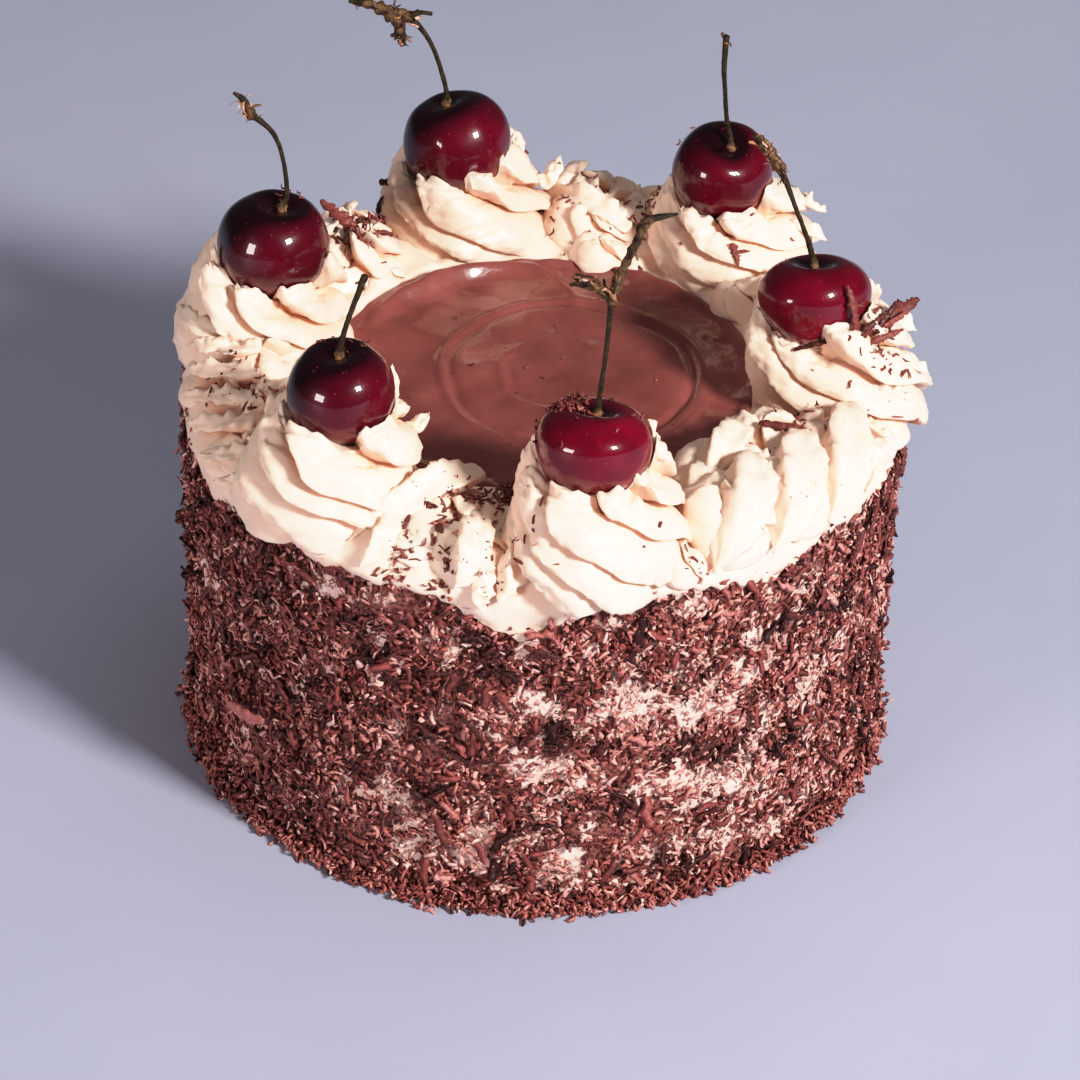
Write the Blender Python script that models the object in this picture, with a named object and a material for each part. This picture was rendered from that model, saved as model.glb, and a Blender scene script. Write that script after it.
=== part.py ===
"""A black forest cake, six inches across, built in Blender 4.5 as separate solids.

The cake stands on the XY plane with its axis on +Z, and its front faces -Y. It is a cream-coated
round with a disc of ganache on top. Six piped rosettes stand round the edge, each with a cherry,
and six lower swirls fill the spaces between them. Larger flakes of chocolate lie on the cream.
Sizes are in millimetres in the constants, and MM turns them into metres.
"""

import math

import bmesh
import bpy
from mathutils import Euler, Matrix, Vector

MM = 0.001
GAP = 0.3  # free space between neighbouring solids

CAKE_RADIUS = 78.0
CAKE_HEIGHT = 84.0
CAKE_SHOULDER = 4.0  # radius of the rounded top edge
CAKE_FOOT = 1.0  # how far the coating spreads at the foot
CAKE_UNEVEN = 0.7

GANACHE_RADIUS = 43.5
GANACHE_THICKNESS = 3.6
GANACHE_RELIEF = 0.7  # height of the palette knife's spiral

CREAM_FLOOR = CAKE_HEIGHT + GAP
CREAM_SAG = 6.0  # how far the cream sags where it passes the cake's edge
CHERRY_CENTRE = 110.0  # height of a cherry's centre
CHERRY_TALL = 0.88  # a cherry's height as a share of its diameter
CHERRY_FULL = 0.9  # 1 for an ellipsoid, less for fuller shoulders
CHERRY_CUP = (-5.5, -9.2)  # levels of the hollow round a cherry, from its middle
CHERRY_ROOM = 1.6  # free space between a cherry and the sides of its hollow
STEM_RADIUS = 0.75
FLAKE_THICKNESS = 0.9

# A rosette's outline: shares of its radius and of its height, and how far the ridges stand out
# there. It runs from the base, over the wide lower round and the narrower upper one, to the rim.
ROSETTE_RADIUS = 20.5
ROSETTE_HEIGHT = 22.0
ROSETTE_PROFILE = (
    (0.85, 0.00, 0.7),
    (0.97, 0.10, 0.9),
    (1.00, 0.24, 1.0),
    (0.92, 0.42, 1.0),
    (0.84, 0.60, 1.0),
    (0.77, 0.80, 0.8),
    (0.67, 0.96, 0.3),
)
# A filler swirl rises to a soft point instead.
FILLER_HEIGHT = 13.5
FILLER_PROFILE = (
    (0.90, 0.00, 0.4),
    (1.00, 0.20, 1.0),
    (0.90, 0.50, 1.0),
    (0.66, 0.78, 1.0),
    (0.34, 0.96, 0.7),
    (0.12, 1.08, 0.3),
)
RIDGE_DEPTH = 0.14  # depth of a groove, as a share of the swirl's radius
RIDGE_SHAPE = (1.0, 0.22, 0.0, 0.3)  # depth across one ridge, from its groove to the next
ROUND_WOBBLE = 0.035  # how far a swirl is from round, as a share of its radius

# Name, azimuth and distance from the cake's axis, ridges, sweep of the ridges and turn of the first
# one, then the azimuth that the rim rises towards and by how much. All angles are in degrees.
ROSETTES = (
    ("left", 168, 61, 8, 150, 10, 20, 2.0),
    ("back", 105, 60, 8, 140, 32, -20, 2.6),
    ("back_right", 49, 64, 9, 160, 0, -30, 1.2),
    ("right", -4, 63, 8, 140, 20, -20, 2.6),
    ("front", -79, 63.5, 9, 150, 5, 60, 1.6),
    ("front_left", -133.5, 62, 8, 160, 28, 60, 1.4),
)
# By rosette: the cherry's azimuth and distance, its diameter, and its lean towards +X and towards
# the front in degrees.
CHERRIES = {
    "left": (168, 60, 24.6, -2, 3),
    "back": (110, 61, 24.2, -13, 0),
    "back_right": (52, 62, 22.6, -4, 0),
    "right": (-4, 57, 24.8, -6, 2),
    "front": (-80, 62, 24.8, 3, 9),
    "front_left": (-133, 60.5, 23.2, 0, 12),
}
# Name, azimuth, distance from the cake's axis, radius, ridges, sweep and turn.
FILLERS = (
    ("left_back", 139, 62, 16.5, 7, 80, 0),
    ("back", 78, 61, 17.0, 7, 110, 15),
    ("right_back", 23, 62, 16.5, 7, 90, 30),
    ("front_right", -42, 62.5, 21.5, 8, 60, 12),
    ("front_left", -106.5, 63.5, 16.0, 7, 70, 40),
    ("left_front", -162, 63, 16.5, 7, 80, 5),
)
# Each stem's line from the cherry's hollow: across, back, up, and the share of STEM_RADIUS there.
STEMS = {
    "left": (
        (0, 0, 0, 1.9),
        (0, 0, 3.4, 0.95),
        (-0.9, 0.3, 9, 0.9),
        (-2.4, 0.6, 15.5, 0.9),
        (-4.1, 0.8, 19.5, 0.95),
        (-6.5, 1, 22, 1.1),
        (-8.0, 1, 23.6, 2.1),
        (-9.4, 1, 27.0, 1.3),
        (-11.3, 1, 28.6, 0.5),
    ),
    "back": (
        (0, 0, 0, 1.9),
        (-0.3, 0, 3, 1.0),
        (-0.9, 0, 6.4, 0.95),
        (-2.6, 0, 12.7, 0.95),
        (-4.9, 0, 18.2, 0.95),
        (-8.5, 0, 22.7, 1.4),
        (-12.5, 0, 23.8, 3.0),
        (-17, 0, 25.8, 1.9),
        (-22, 0, 26.8, 1.0),
    ),
    "back_right": (
        (0, 0, 0, 1.9),
        (-0.3, 0, 2.5, 1.1),
        (-1.4, 0, 8, 0.95),
        (-2.1, 0, 15, 0.95),
        (-2.5, 0, 20.5, 1.0),
        (-2.4, 0, 28, 1.25),
    ),
    "right": (
        (0, 0, 0, 1.9),
        (-0.8, 0, 3, 1.2),
        (-2.2, 0, 7.5, 0.95),
        (-4.8, 0, 14, 0.95),
        (-7.5, 0, 21, 1.1),
        (-9.6, 0, 25.0, 2.3),
        (-12.4, 0, 29.0, 1.9),
        (-14.2, 0, 31.0, 0.8),
    ),
    "front": (
        (0, 0, 0, 1.9),
        (0.3, 0, 3, 1.1),
        (0.9, 0, 9, 0.95),
        (1.5, 0, 16, 0.95),
        (1.9, 0, 23, 1.0),
        (2.3, 0, 27.4, 1.5),
        (4.0, 0.6, 33, 1.6),
        (6.6, 1, 39.5, 1.5),
        (8.5, 1, 44, 1.7),
        (14.5, 1.5, 45.6, 0.5),
    ),
    "front_left": (
        (0, 0, 0, 1.9),
        (0.7, 0, 4.5, 1.1),
        (2.1, 0, 10.4, 1.0),
        (3.7, 0.4, 15.5, 1.05),
        (5.2, 0.8, 20.5, 1.35),
    ),
}
# Twigs that fork off a stem, on the same terms.
TWIGS = {
    "back": (
        ((-12, 0, 24, 2.4), (-10.8, 0, 20, 2.2), (-9.8, 0, 15.5, 0.7)),
        ((-9, 0, 22.8, 1.3), (-6.5, 0, 24.2, 0.9), (-3.6, 0, 24, 0.7)),
    ),
    "front": (((2.3, 0, 27.2, 1.4), (-1.2, 0.3, 29.4, 1.7), (-5.4, 0.6, 30.2, 1.1)),),
}
# Name, the cream that it is stuck in, broad end, pointed end, the way its outer face looks, width,
# and bend in degrees.
FLAKES = (
    ("back", "filler_left_back", (-40.5, 37.4, 96.0), (-50.4, 43.4, 102.2), (0.1, -0.8, 0.6), 4.6, 45),
    ("curl", "rosette_right", (66.0, -17.0, 106.8), (64.2, -14.8, 117.4), (0.5, -0.8, 0.2), 2.8, 20),
    ("rim", "rosette_right", (68.8, -14.6, 105.6), (79.6, -3.4, 109.8), (0.4, -0.7, 0.6), 4.4, 25),
    ("front", "filler_front_right", (45.0, -33.8, 96.2), (55.8, -35.4, 95.6), (0, -0.3, 1), 2.4, 60),
)


def collection(name, shown=True):
    made = bpy.data.collections.new(name)
    bpy.context.scene.collection.children.link(made)
    made.hide_render = not shown
    return made


def material(name, colour, roughness):
    made = bpy.data.materials.new(name)
    made.use_nodes = True
    shader = made.node_tree.nodes["Principled BSDF"]
    shader.inputs["Base Color"].default_value = (*colour, 1)
    shader.inputs["Roughness"].default_value = roughness
    shader.inputs["Metallic"].default_value = 0
    return made


def smoothstep(low, high, value):
    share = min(1.0, max(0.0, (value - low) / (high - low)))
    return share * share * (3 - 2 * share)


def polar(azimuth, radius):
    """The point at that azimuth, in degrees, and distance from the cake's axis."""
    return Vector((math.cos(math.radians(azimuth)), math.sin(math.radians(azimuth)), 0)) * radius


def place(mesh, name, parts, look):
    obj = bpy.data.objects.new(name, mesh)
    parts.objects.link(obj)
    mesh.materials.clear()
    mesh.materials.append(look)
    return obj


def moulded(name, segments, rings, point_at):
    """A UV sphere whose points are moved to point_at(ring, segment), in millimetres. Ring 0 is the
    lower pole, and ring rings - 1 the upper one."""
    shape = bmesh.new()
    bmesh.ops.create_uvsphere(shape, u_segments=segments, v_segments=rings - 1, radius=1)
    for vert in shape.verts:
        ring = round((math.asin(max(-1, min(1, vert.co.z))) / math.pi + 0.5) * (rings - 1))
        segment = round(math.atan2(vert.co.y, vert.co.x) / math.tau * segments) % segments
        vert.co = Vector(point_at(ring, segment)) * MM
    mesh = bpy.data.meshes.new(name)
    shape.to_mesh(mesh)
    shape.free()
    mesh.shade_smooth()
    return mesh


def cake_mesh():
    """The coated round: a cylinder with a rounded top edge, uneven as a coating of cream is."""
    segments = 48
    rings = [(0, 0), (CAKE_RADIUS * 0.6, 0), (CAKE_RADIUS + CAKE_FOOT, 0)]
    rings += [(CAKE_RADIUS, height) for height in (4, 30, 55, CAKE_HEIGHT - CAKE_SHOULDER)]
    for angle in (35, 65, 90):
        reach = CAKE_SHOULDER * math.cos(math.radians(angle))
        rise = CAKE_SHOULDER * math.sin(math.radians(angle))
        rings.append((CAKE_RADIUS - CAKE_SHOULDER + reach, CAKE_HEIGHT - CAKE_SHOULDER + rise))
    rings.append((0, CAKE_HEIGHT))

    def point_at(ring, segment):
        radius, height = rings[ring]
        angle = math.tau * segment / segments
        wave = math.sin(5 * angle + 0.08 * height) + 0.7 * math.sin(11 * angle - 0.11 * height)
        radius += CAKE_UNEVEN * wave * smoothstep(60, 76, radius) / 1.7
        return radius * math.cos(angle), radius * math.sin(angle), height

    return moulded("cake_body", segments, len(rings), point_at)


def outline_radius(profile, radius, height, level):
    """A swirl's radius at that level above the cake's top, without its grooves."""
    for (share, rise, _), (next_share, next_rise, _) in zip(profile, profile[1:]):
        if rise <= level / height <= next_rise:
            part_way = (level / height - rise) / (next_rise - rise)
            return radius * (share + (next_share - share) * part_way)
    return 0.0


def free_reach(start, angle, level, others):
    """How far a ray from start at that angle goes before it meets one of the other swirls."""
    ray = Vector((math.cos(angle), math.sin(angle), 0))
    reach = math.inf
    for foot, top, profile, radius, height in others:
        wide = outline_radius(profile, radius, height, level) * (1 + ROUND_WOBBLE) + 3 * GAP
        apart = foot.lerp(top, min(1.0, level / height)) - start
        along = apart.dot(ray)
        missed = apart.length_squared - along * along
        if along > 0 and missed < wide * wide:
            reach = min(reach, along - math.sqrt(wide * wide - missed))
    return reach


def ganache_mesh(swirls):
    """Ganache poured inside the ring of cream, its top drawn into a spiral by a palette knife."""
    segments = 48
    edge = [(0.6, 0.0), (0.98, 0.0), (1.0, 0.4), (0.98, 0.8), (0.94, 1.0)]
    top = [(share, 1.0) for share in (0.84, 0.72, 0.6, 0.46, 0.3, 0.14)]
    rings = [(0, 0.0), *edge, *top, (0, 1.0)]
    middle = Vector((0, 0, 0))

    def point_at(ring, segment):
        share, level = rings[ring]
        angle = math.tau * segment / segments
        free = free_reach(middle, angle, GANACHE_THICKNESS, swirls) - 2 * GAP
        height = CREAM_FLOOR + level * GANACHE_THICKNESS
        if level == 1.0 and share > 0:
            height += GANACHE_RELIEF * math.sin(math.tau * 2.2 * share + angle) * share
        radius = min(GANACHE_RADIUS, free) * share
        return radius * math.cos(angle), radius * math.sin(angle), height

    return moulded("ganache_top", segments, len(rings), point_at)


def cherry_radius(diameter, level):
    """A cherry's radius at that height above its middle."""
    share = min(1.0, abs(level) / (diameter / 2 * CHERRY_TALL))
    return diameter / 2 * (1 - share * share) ** (CHERRY_FULL / 2)


def beside_cherry(point, middle, diameter, lean):
    """The point, moved out where it would be inside a cherry."""
    inside = lean.inverted() @ (point - middle)
    free = cherry_radius(diameter, inside.z) + CHERRY_ROOM
    if abs(inside.z) < diameter / 2 * CHERRY_TALL and inside.xy.length < free:
        inside.xy = inside.xy.normalized() * free
    return middle + lean @ inside


def swirl_mesh(name, centre, size, pattern, cherry=None, rim=(0, 0), others=()):
    """A piped swirl. Its ridges wind down and round it to the base. size is its outline, radius and
    height, and pattern is its ridges, their sweep and the turn of the first one. Where it holds a
    cherry of that middle, diameter and lean, it leans to the cherry, and its tilted rim has a
    hollow inside that fits it."""
    profile, radius, height = size
    ridges, sweep, turn = pattern
    segments = ridges * len(RIDGE_SHAPE)
    cup = CHERRY_CUP if cherry else ()
    outer = len(profile)
    rings = 1 + outer + len(cup) + 1
    middle, diameter, lean = cherry or (centre, 0, None)

    def point_at(ring, segment):
        angle = math.tau * segment / segments
        if ring == 0:
            return centre.x, centre.y, CREAM_FLOOR
        if ring == rings - 1 and cherry:
            return middle + lean @ Vector((0, 0, -cherry_bottom(diameter)))
        if ring == rings - 1:
            return centre.x, centre.y, CREAM_FLOOR + height * profile[-1][1]
        radius_share, height_share, relief = profile[min(ring, outer) - 1]
        angle += math.radians(turn - sweep * smoothstep(0, 1.1, height_share))
        facing = Vector((math.cos(angle), math.sin(angle), 0))
        if ring > outer:
            level = cup[ring - outer - 1]
            reach = cherry_radius(diameter, level) + CHERRY_ROOM
            return middle + lean @ (facing * reach + Vector((0, 0, level)))
        ridge, across = divmod(segment, len(RIDGE_SHAPE))
        groove = RIDGE_SHAPE[across] * (1 + 0.25 * math.sin(2.4 * ridge + turn)) * relief
        wobble = (math.sin(2 * angle + turn) + 0.8 * math.sin(3 * angle - turn)) / 1.8
        reach = radius * (radius_share * (1 + ROUND_WOBBLE * wobble) - RIDGE_DEPTH * groove)
        level = height * height_share
        level += rim[1] * math.cos(angle - math.radians(rim[0])) * height_share**2
        reach = min(reach, free_reach(centre, angle, level, others) - GAP)
        level -= 0.35 * RIDGE_DEPTH * radius * groove * smoothstep(0.5, 1.0, height_share)
        axis = centre.lerp(Vector((middle.x, middle.y, 0)), height_share)
        point = axis + facing * reach
        if ring == 1:
            point *= min(1.0, (CAKE_RADIUS - CAKE_UNEVEN) / point.length)
        else:
            outermost = (axis + facing * radius * radius_share).length
            past_edge = smoothstep(CAKE_RADIUS + 1, CAKE_RADIUS + 5, outermost)
            level -= CREAM_SAG * past_edge * (1 - smoothstep(0.1, 0.6, height_share))
        if level < 0:
            point *= max(1.0, (CAKE_RADIUS + 2 * CAKE_UNEVEN) / point.length)
        point.z = CREAM_FLOOR + level
        return beside_cherry(point, *cherry) if cherry else point

    return moulded(name, segments, rings, point_at)


def cherry_bottom(diameter):
    """From a cherry's middle down to the hollow that holds it."""
    return diameter / 2 * CHERRY_TALL + 3 * GAP


def cherry_mesh(name, diameter):
    """A cherry about its own middle: round shoulders, a hollow for the stem and a faint seam."""
    segments, rings = 14, 9
    half = diameter / 2

    def point_at(ring, segment):
        lift = math.pi * (ring / (rings - 1) - 0.5)
        angle = math.tau * segment / segments
        radius = half * math.cos(lift) ** CHERRY_FULL
        seam = 0.03 * math.exp(-((math.sin(angle / 2) / 0.16) ** 2))
        radius *= 1 + 0.03 * math.cos(2 * angle) - seam
        height = half * CHERRY_TALL * math.sin(lift)
        hollow = 0.34 * half * math.exp(-((radius / (0.36 * half)) ** 2))
        height -= hollow if lift > 0 else 0
        return radius * math.cos(angle), radius * math.sin(angle), height

    return moulded(name, segments, rings, point_at)


def hollow_height(diameter):
    """Height of the bottom of a cherry's hollow above its middle."""
    return diameter / 2 * (CHERRY_TALL - 0.34)


def tube_mesh(name, line):
    """A tapered twig along points of (across, back, up, share of STEM_RADIUS)."""
    curve = bpy.data.curves.new(name, "CURVE")
    curve.dimensions = "3D"
    curve.bevel_depth = STEM_RADIUS * MM
    curve.bevel_resolution = 1
    curve.use_fill_caps = True
    spline = curve.splines.new("POLY")
    spline.points.add(len(line) - 1)
    for point, (across, back, up, thick) in zip(spline.points, line):
        point.co = (across * MM, back * MM, up * MM, 1)
        point.radius = thick
    obj = bpy.data.objects.new(name, curve)
    bpy.context.scene.collection.objects.link(obj)
    bpy.context.view_layer.update()
    graph = bpy.context.evaluated_depsgraph_get()
    mesh = bpy.data.meshes.new_from_object(obj.evaluated_get(graph))
    bpy.data.objects.remove(obj)
    bpy.data.curves.remove(curve)
    shape = bmesh.new()
    shape.from_mesh(mesh)
    bmesh.ops.remove_doubles(shape, verts=shape.verts, dist=1e-5)
    bmesh.ops.recalc_face_normals(shape, faces=shape.faces)
    shape.to_mesh(mesh)
    shape.free()
    mesh.shade_smooth()
    return mesh


def flake_mesh(name, length, width, bend):
    """A shaving of chocolate about its own middle: a strip along X, bent about Y and drawn to a
    point at its far end."""
    steps = 4
    shape = bmesh.new()
    bmesh.ops.create_grid(shape, x_segments=steps, y_segments=1, size=0.5)
    roll = math.radians(bend)
    curl = length / roll
    for vert in shape.verts:
        along, across = vert.co.x, vert.co.y
        taper = 1 - 0.75 * smoothstep(-0.1, 0.5, along)
        angle = along * roll
        vert.co.x = curl * math.sin(angle) * MM
        vert.co.y = across * width * taper * MM
        vert.co.z = curl * (math.cos(roll / 2) - math.cos(angle)) * MM
    thickness = FLAKE_THICKNESS * MM
    bmesh.ops.solidify(shape, geom=shape.faces[:], thickness=thickness)
    bmesh.ops.recalc_face_normals(shape, faces=shape.faces)
    mesh = bpy.data.meshes.new(name)
    shape.to_mesh(mesh)
    shape.free()
    return mesh


def grown(mesh, by):
    """A copy of a mesh with its surface moved outwards, in millimetres."""
    shape = bmesh.new()
    shape.from_mesh(mesh)
    shape.normal_update()
    moves = [vert.normal * by * MM for vert in shape.verts]
    for vert, move in zip(shape.verts, moves):
        vert.co += move
    made = bpy.data.meshes.new(mesh.name + "_room")
    shape.to_mesh(made)
    shape.free()
    return made


def cut(target, mesh, matrix, cutters):
    """Takes the mesh, placed by the matrix, out of the target."""
    cutter = bpy.data.objects.new(f"{target.name}_cut", mesh)
    cutter.matrix_world = matrix
    cutter.hide_render = True
    cutter.display_type = "WIRE"
    cutters.objects.link(cutter)
    boolean = target.modifiers.new("room", "BOOLEAN")
    boolean.operation = "DIFFERENCE"
    boolean.object = cutter


def joined(target, mesh, cutters):
    """Adds the mesh to the target, in the target's own frame."""
    tool = bpy.data.objects.new(f"{target.name}_fork", mesh)
    tool.matrix_world = target.matrix_world
    tool.hide_render = True
    tool.display_type = "WIRE"
    cutters.objects.link(tool)
    boolean = target.modifiers.new("fork", "BOOLEAN")
    boolean.operation = "UNION"
    boolean.object = tool


def build_cherry(name, middle, diameter, lean, parts, cutters, looks):
    """A cherry with its middle there, and its stem."""
    seam = Matrix.Rotation(math.atan2(middle.y, middle.x) + math.radians(200), 4, "Z")
    cherry = place(cherry_mesh(f"cherry_{name}", diameter), f"cherry_{name}", parts, looks["cherry"])
    cherry.matrix_world = Matrix.Translation(middle * MM) @ lean.to_4x4() @ seam
    foot = lean @ Vector((0, 0, hollow_height(diameter) + 4 * GAP))
    stem = place(tube_mesh(f"stem_{name}", STEMS[name]), f"stem_{name}", parts, looks["stem"])
    stem.matrix_world = Matrix.Translation((middle + foot) * MM)
    for twig in TWIGS.get(name, ()):
        joined(stem, tube_mesh(f"twig_{name}", twig), cutters)


def build():
    for obj in list(bpy.data.objects):
        bpy.data.objects.remove(obj)
    parts = collection("black_forest_cake")
    cutters = collection("cutters", shown=False)
    looks = {
        "cake": material("shaved_chocolate", (0.20, 0.075, 0.055), 0.75),
        "ganache": material("ganache", (0.23, 0.085, 0.07), 0.3),
        "cream": material("whipped_cream", (0.93, 0.83, 0.70), 0.5),
        "cherry": material("cherry_skin", (0.16, 0.005, 0.018), 0.12),
        "stem": material("cherry_stem", (0.09, 0.06, 0.02), 0.6),
        "flake": material("dark_chocolate", (0.13, 0.045, 0.03), 0.5),
    }
    place(cake_mesh(), "cake_body", parts, looks["cake"])

    rounds = []
    cream = {}
    for name, azimuth, distance, ridges, sweep, turn, *rim in ROSETTES:
        centre = polar(azimuth, distance)
        size = (ROSETTE_PROFILE, ROSETTE_RADIUS, ROSETTE_HEIGHT)
        azimuth, distance, diameter, right, front = CHERRIES[name]
        middle = polar(azimuth, distance) + Vector((0, 0, CHERRY_CENTRE))
        lean = Euler((math.radians(front), math.radians(right), 0)).to_matrix()
        cherry = (middle, diameter, lean)
        mesh = swirl_mesh(f"rosette_{name}", centre, size, (ridges, sweep, turn), cherry, rim)
        cream[mesh.name] = place(mesh, mesh.name, parts, looks["cream"])
        build_cherry(name, *cherry, parts, cutters, looks)
        rounds.append((centre, polar(azimuth, distance), *size))
    fillers = []
    for name, azimuth, distance, radius, ridges, sweep, turn in FILLERS:
        centre = polar(azimuth, distance)
        size = (FILLER_PROFILE, radius, FILLER_HEIGHT)
        mesh = swirl_mesh(f"filler_{name}", centre, size, (ridges, sweep, turn), others=rounds)
        cream[mesh.name] = place(mesh, mesh.name, parts, looks["cream"])
        fillers.append((centre, centre, *size))
    place(ganache_mesh(rounds + fillers), "ganache_top", parts, looks["ganache"])

    for name, holder, broad_end, point, facing, width, bend in FLAKES:
        line = Vector(point) - Vector(broad_end)
        middle = (Vector(point) + Vector(broad_end)) / 2
        mesh = flake_mesh(f"flake_{name}", line.length, width, bend)
        flake = place(mesh, mesh.name, parts, looks["flake"])
        across = Vector(facing).cross(line).normalized()
        axes = Matrix((line.normalized(), across, line.cross(across).normalized())).transposed()
        flake.matrix_world = Matrix.Translation(middle * MM) @ axes.to_4x4()
        cut(cream[holder], grown(mesh, GAP + 0.1), flake.matrix_world, cutters)


build()
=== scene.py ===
"""The looks of the black forest cake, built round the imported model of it.

Every piece is made here in mesh code, in millimetres, and MM turns it into metres. The cake stands
on the XY plane with its axis on +Z, and its front faces -Y. Azimuths are in degrees from +X.
"""

import math

import bpy
import numpy as np
from mathutils import Euler, Matrix, Vector


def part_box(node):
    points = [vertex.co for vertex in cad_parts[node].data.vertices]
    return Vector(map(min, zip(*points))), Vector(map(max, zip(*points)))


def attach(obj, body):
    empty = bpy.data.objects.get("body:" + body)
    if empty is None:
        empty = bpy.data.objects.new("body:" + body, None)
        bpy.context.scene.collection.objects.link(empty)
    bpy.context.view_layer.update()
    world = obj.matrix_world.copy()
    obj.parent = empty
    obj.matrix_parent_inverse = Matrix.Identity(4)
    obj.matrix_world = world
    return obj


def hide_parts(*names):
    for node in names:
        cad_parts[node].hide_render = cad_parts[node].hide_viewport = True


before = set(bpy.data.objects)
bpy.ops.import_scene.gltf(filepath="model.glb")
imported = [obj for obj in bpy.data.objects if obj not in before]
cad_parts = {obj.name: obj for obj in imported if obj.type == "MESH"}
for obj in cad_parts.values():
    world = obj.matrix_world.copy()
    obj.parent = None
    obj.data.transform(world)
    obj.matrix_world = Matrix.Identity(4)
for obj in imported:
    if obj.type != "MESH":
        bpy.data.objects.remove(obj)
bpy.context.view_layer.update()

MM = 0.001

# The cake's body and the levels on it, as in the CAD.
CAKE_RADIUS = 78.0
CAKE_HEIGHT = 84.0
CREAM_FLOOR = 84.3
CREAM_SAG = 1.2
GANACHE_RADIUS = 46.5
GANACHE_LEVEL = 88.2

# Cherries: their place and size come from the CAD. By name: how far the widest round is above the
# CAD's middle, lean towards +X and towards the front, height of the shoulders and depth of the foot
# below the widest round as shares of the half diameter.
CHERRY_FULL = 0.9
CHERRY_DENT = 0.2
CHERRIES = {
    "left": (0.8, 12, 2, 0.95, 0.98),
    "back": (0.8, -14, -6, 0.95, 0.98),
    "back_right": (0.4, 12, 22, 0.95, 0.98),
    "right": (2.6, -3, -16, 0.62, 1.0),
    "front": (2.4, 2, -14, 0.58, 1.0),
    "front_left": (0.8, -3, 2, 0.92, 0.98),
}
# By name: how much darker each cherry is painted all over; it also deepens the painted shade on its upper-left
# side.
CHERRY_DARK = {"left": 0.5, "back": 0.45, "back_right": 0.3, "right": 0.1, "front": 0.0, "front_left": 0.5}

# Name, azimuth and distance from the cake's axis, petals, sweep of the petals and turn of the first
# one, then the azimuth that the rim rises towards and by how much.
ROSETTES = (
    ("left", 168, 60.5, 7, 140, 10, 100, 2.0),
    ("back", 105, 62, 7, 115, 32, 20, 3.0),
    ("back_right", 49, 64, 6, 145, 0, 30, 2.0),
    ("right", -4, 64, 7, 120, 40, 20, 2.6),
    ("front", -79, 63.5, 9, 100, 12, 35, 2.2),
    ("front_left", -133.5, 62, 6, 165, 28, 60, 2.2),
)
ROSETTE_RADIUS = 19.2
# How far the rim is below the widest round of the cherry it holds.
RIM_DROP = 5.4
# Share of the radius, share of the height and how far the ridges stand out, from base to rim.
ROSETTE_PROFILE = (
    (0.80, -0.02, 0.3),
    (0.94, 0.05, 0.9),
    (1.01, 0.20, 1.0),
    (1.00, 0.38, 1.0),
    (0.94, 0.54, 1.0),
    (0.89, 0.70, 1.0),
    (0.79, 0.87, 1.0),
    (0.67, 0.98, 0.8),
    (0.60, 1.02, 0.5),
)
# The dollops that fill each gap: azimuth, distance, radius, height, ridges, sweep and turn.
FILLERS = {
    "left_back": (
        (139, 60, 13.5, 11.5, 6, 90, 0),
        (137, 51, 6.5, 6.5, 4, 60, 30),
        (147, 68, 9, 8.5, 4, 80, 10),
        (130, 70, 8, 9, 4, 80, 50),
    ),
    "back": (
        (79, 60, 13, 10.5, 6, 110, 15),
        (84, 69, 9.5, 11, 4, 80, 60),
        (70, 66, 9, 9.5, 4, 80, 20),
        (76, 49, 7, 7, 4, 60, 0),
    ),
    "right_back": (
        (23, 62, 13, 11, 6, 90, 30),
        (33, 51, 7, 8, 4, 60, 10),
        (17, 71, 9.5, 9, 4, 80, 60),
        (14, 52, 7, 7, 4, 60, 40),
    ),
    "front_right": (
        (-56, 66.5, 11.6, 10.5, 3, 65, 20),
        (-42, 66, 12.6, 11.0, 3, 60, 75),
        (-26, 67, 11.0, 10.5, 3, 70, 30),
        (-50, 56, 10.5, 11, 3, 70, 50),
        (-35, 57, 11.5, 11.5, 3, 80, 0),
        (-67, 75, 5.0, 6, 3, 60, 0),
    ),
    "front_left": (
        (-108, 60, 12.5, 7.5, 3, 120, 50),
        (-101.5, 67, 9.5, 6.5, 3, 60, 10),
        (-112, 68, 8.0, 4.5, 3, 70, 60),
        (-115, 53, 7.5, 7, 3, 60, 0),
    ),
    "left_front": (
        (-175, 62, 10, 9.5, 5, 90, 5),
        (-172, 70, 8, 5.5, 4, 70, 40),
        (-152, 71.5, 7.4, 4.4, 4, 60, 20),
        (-160, 61, 10, 9, 5, 90, 60),
    ),
}
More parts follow.
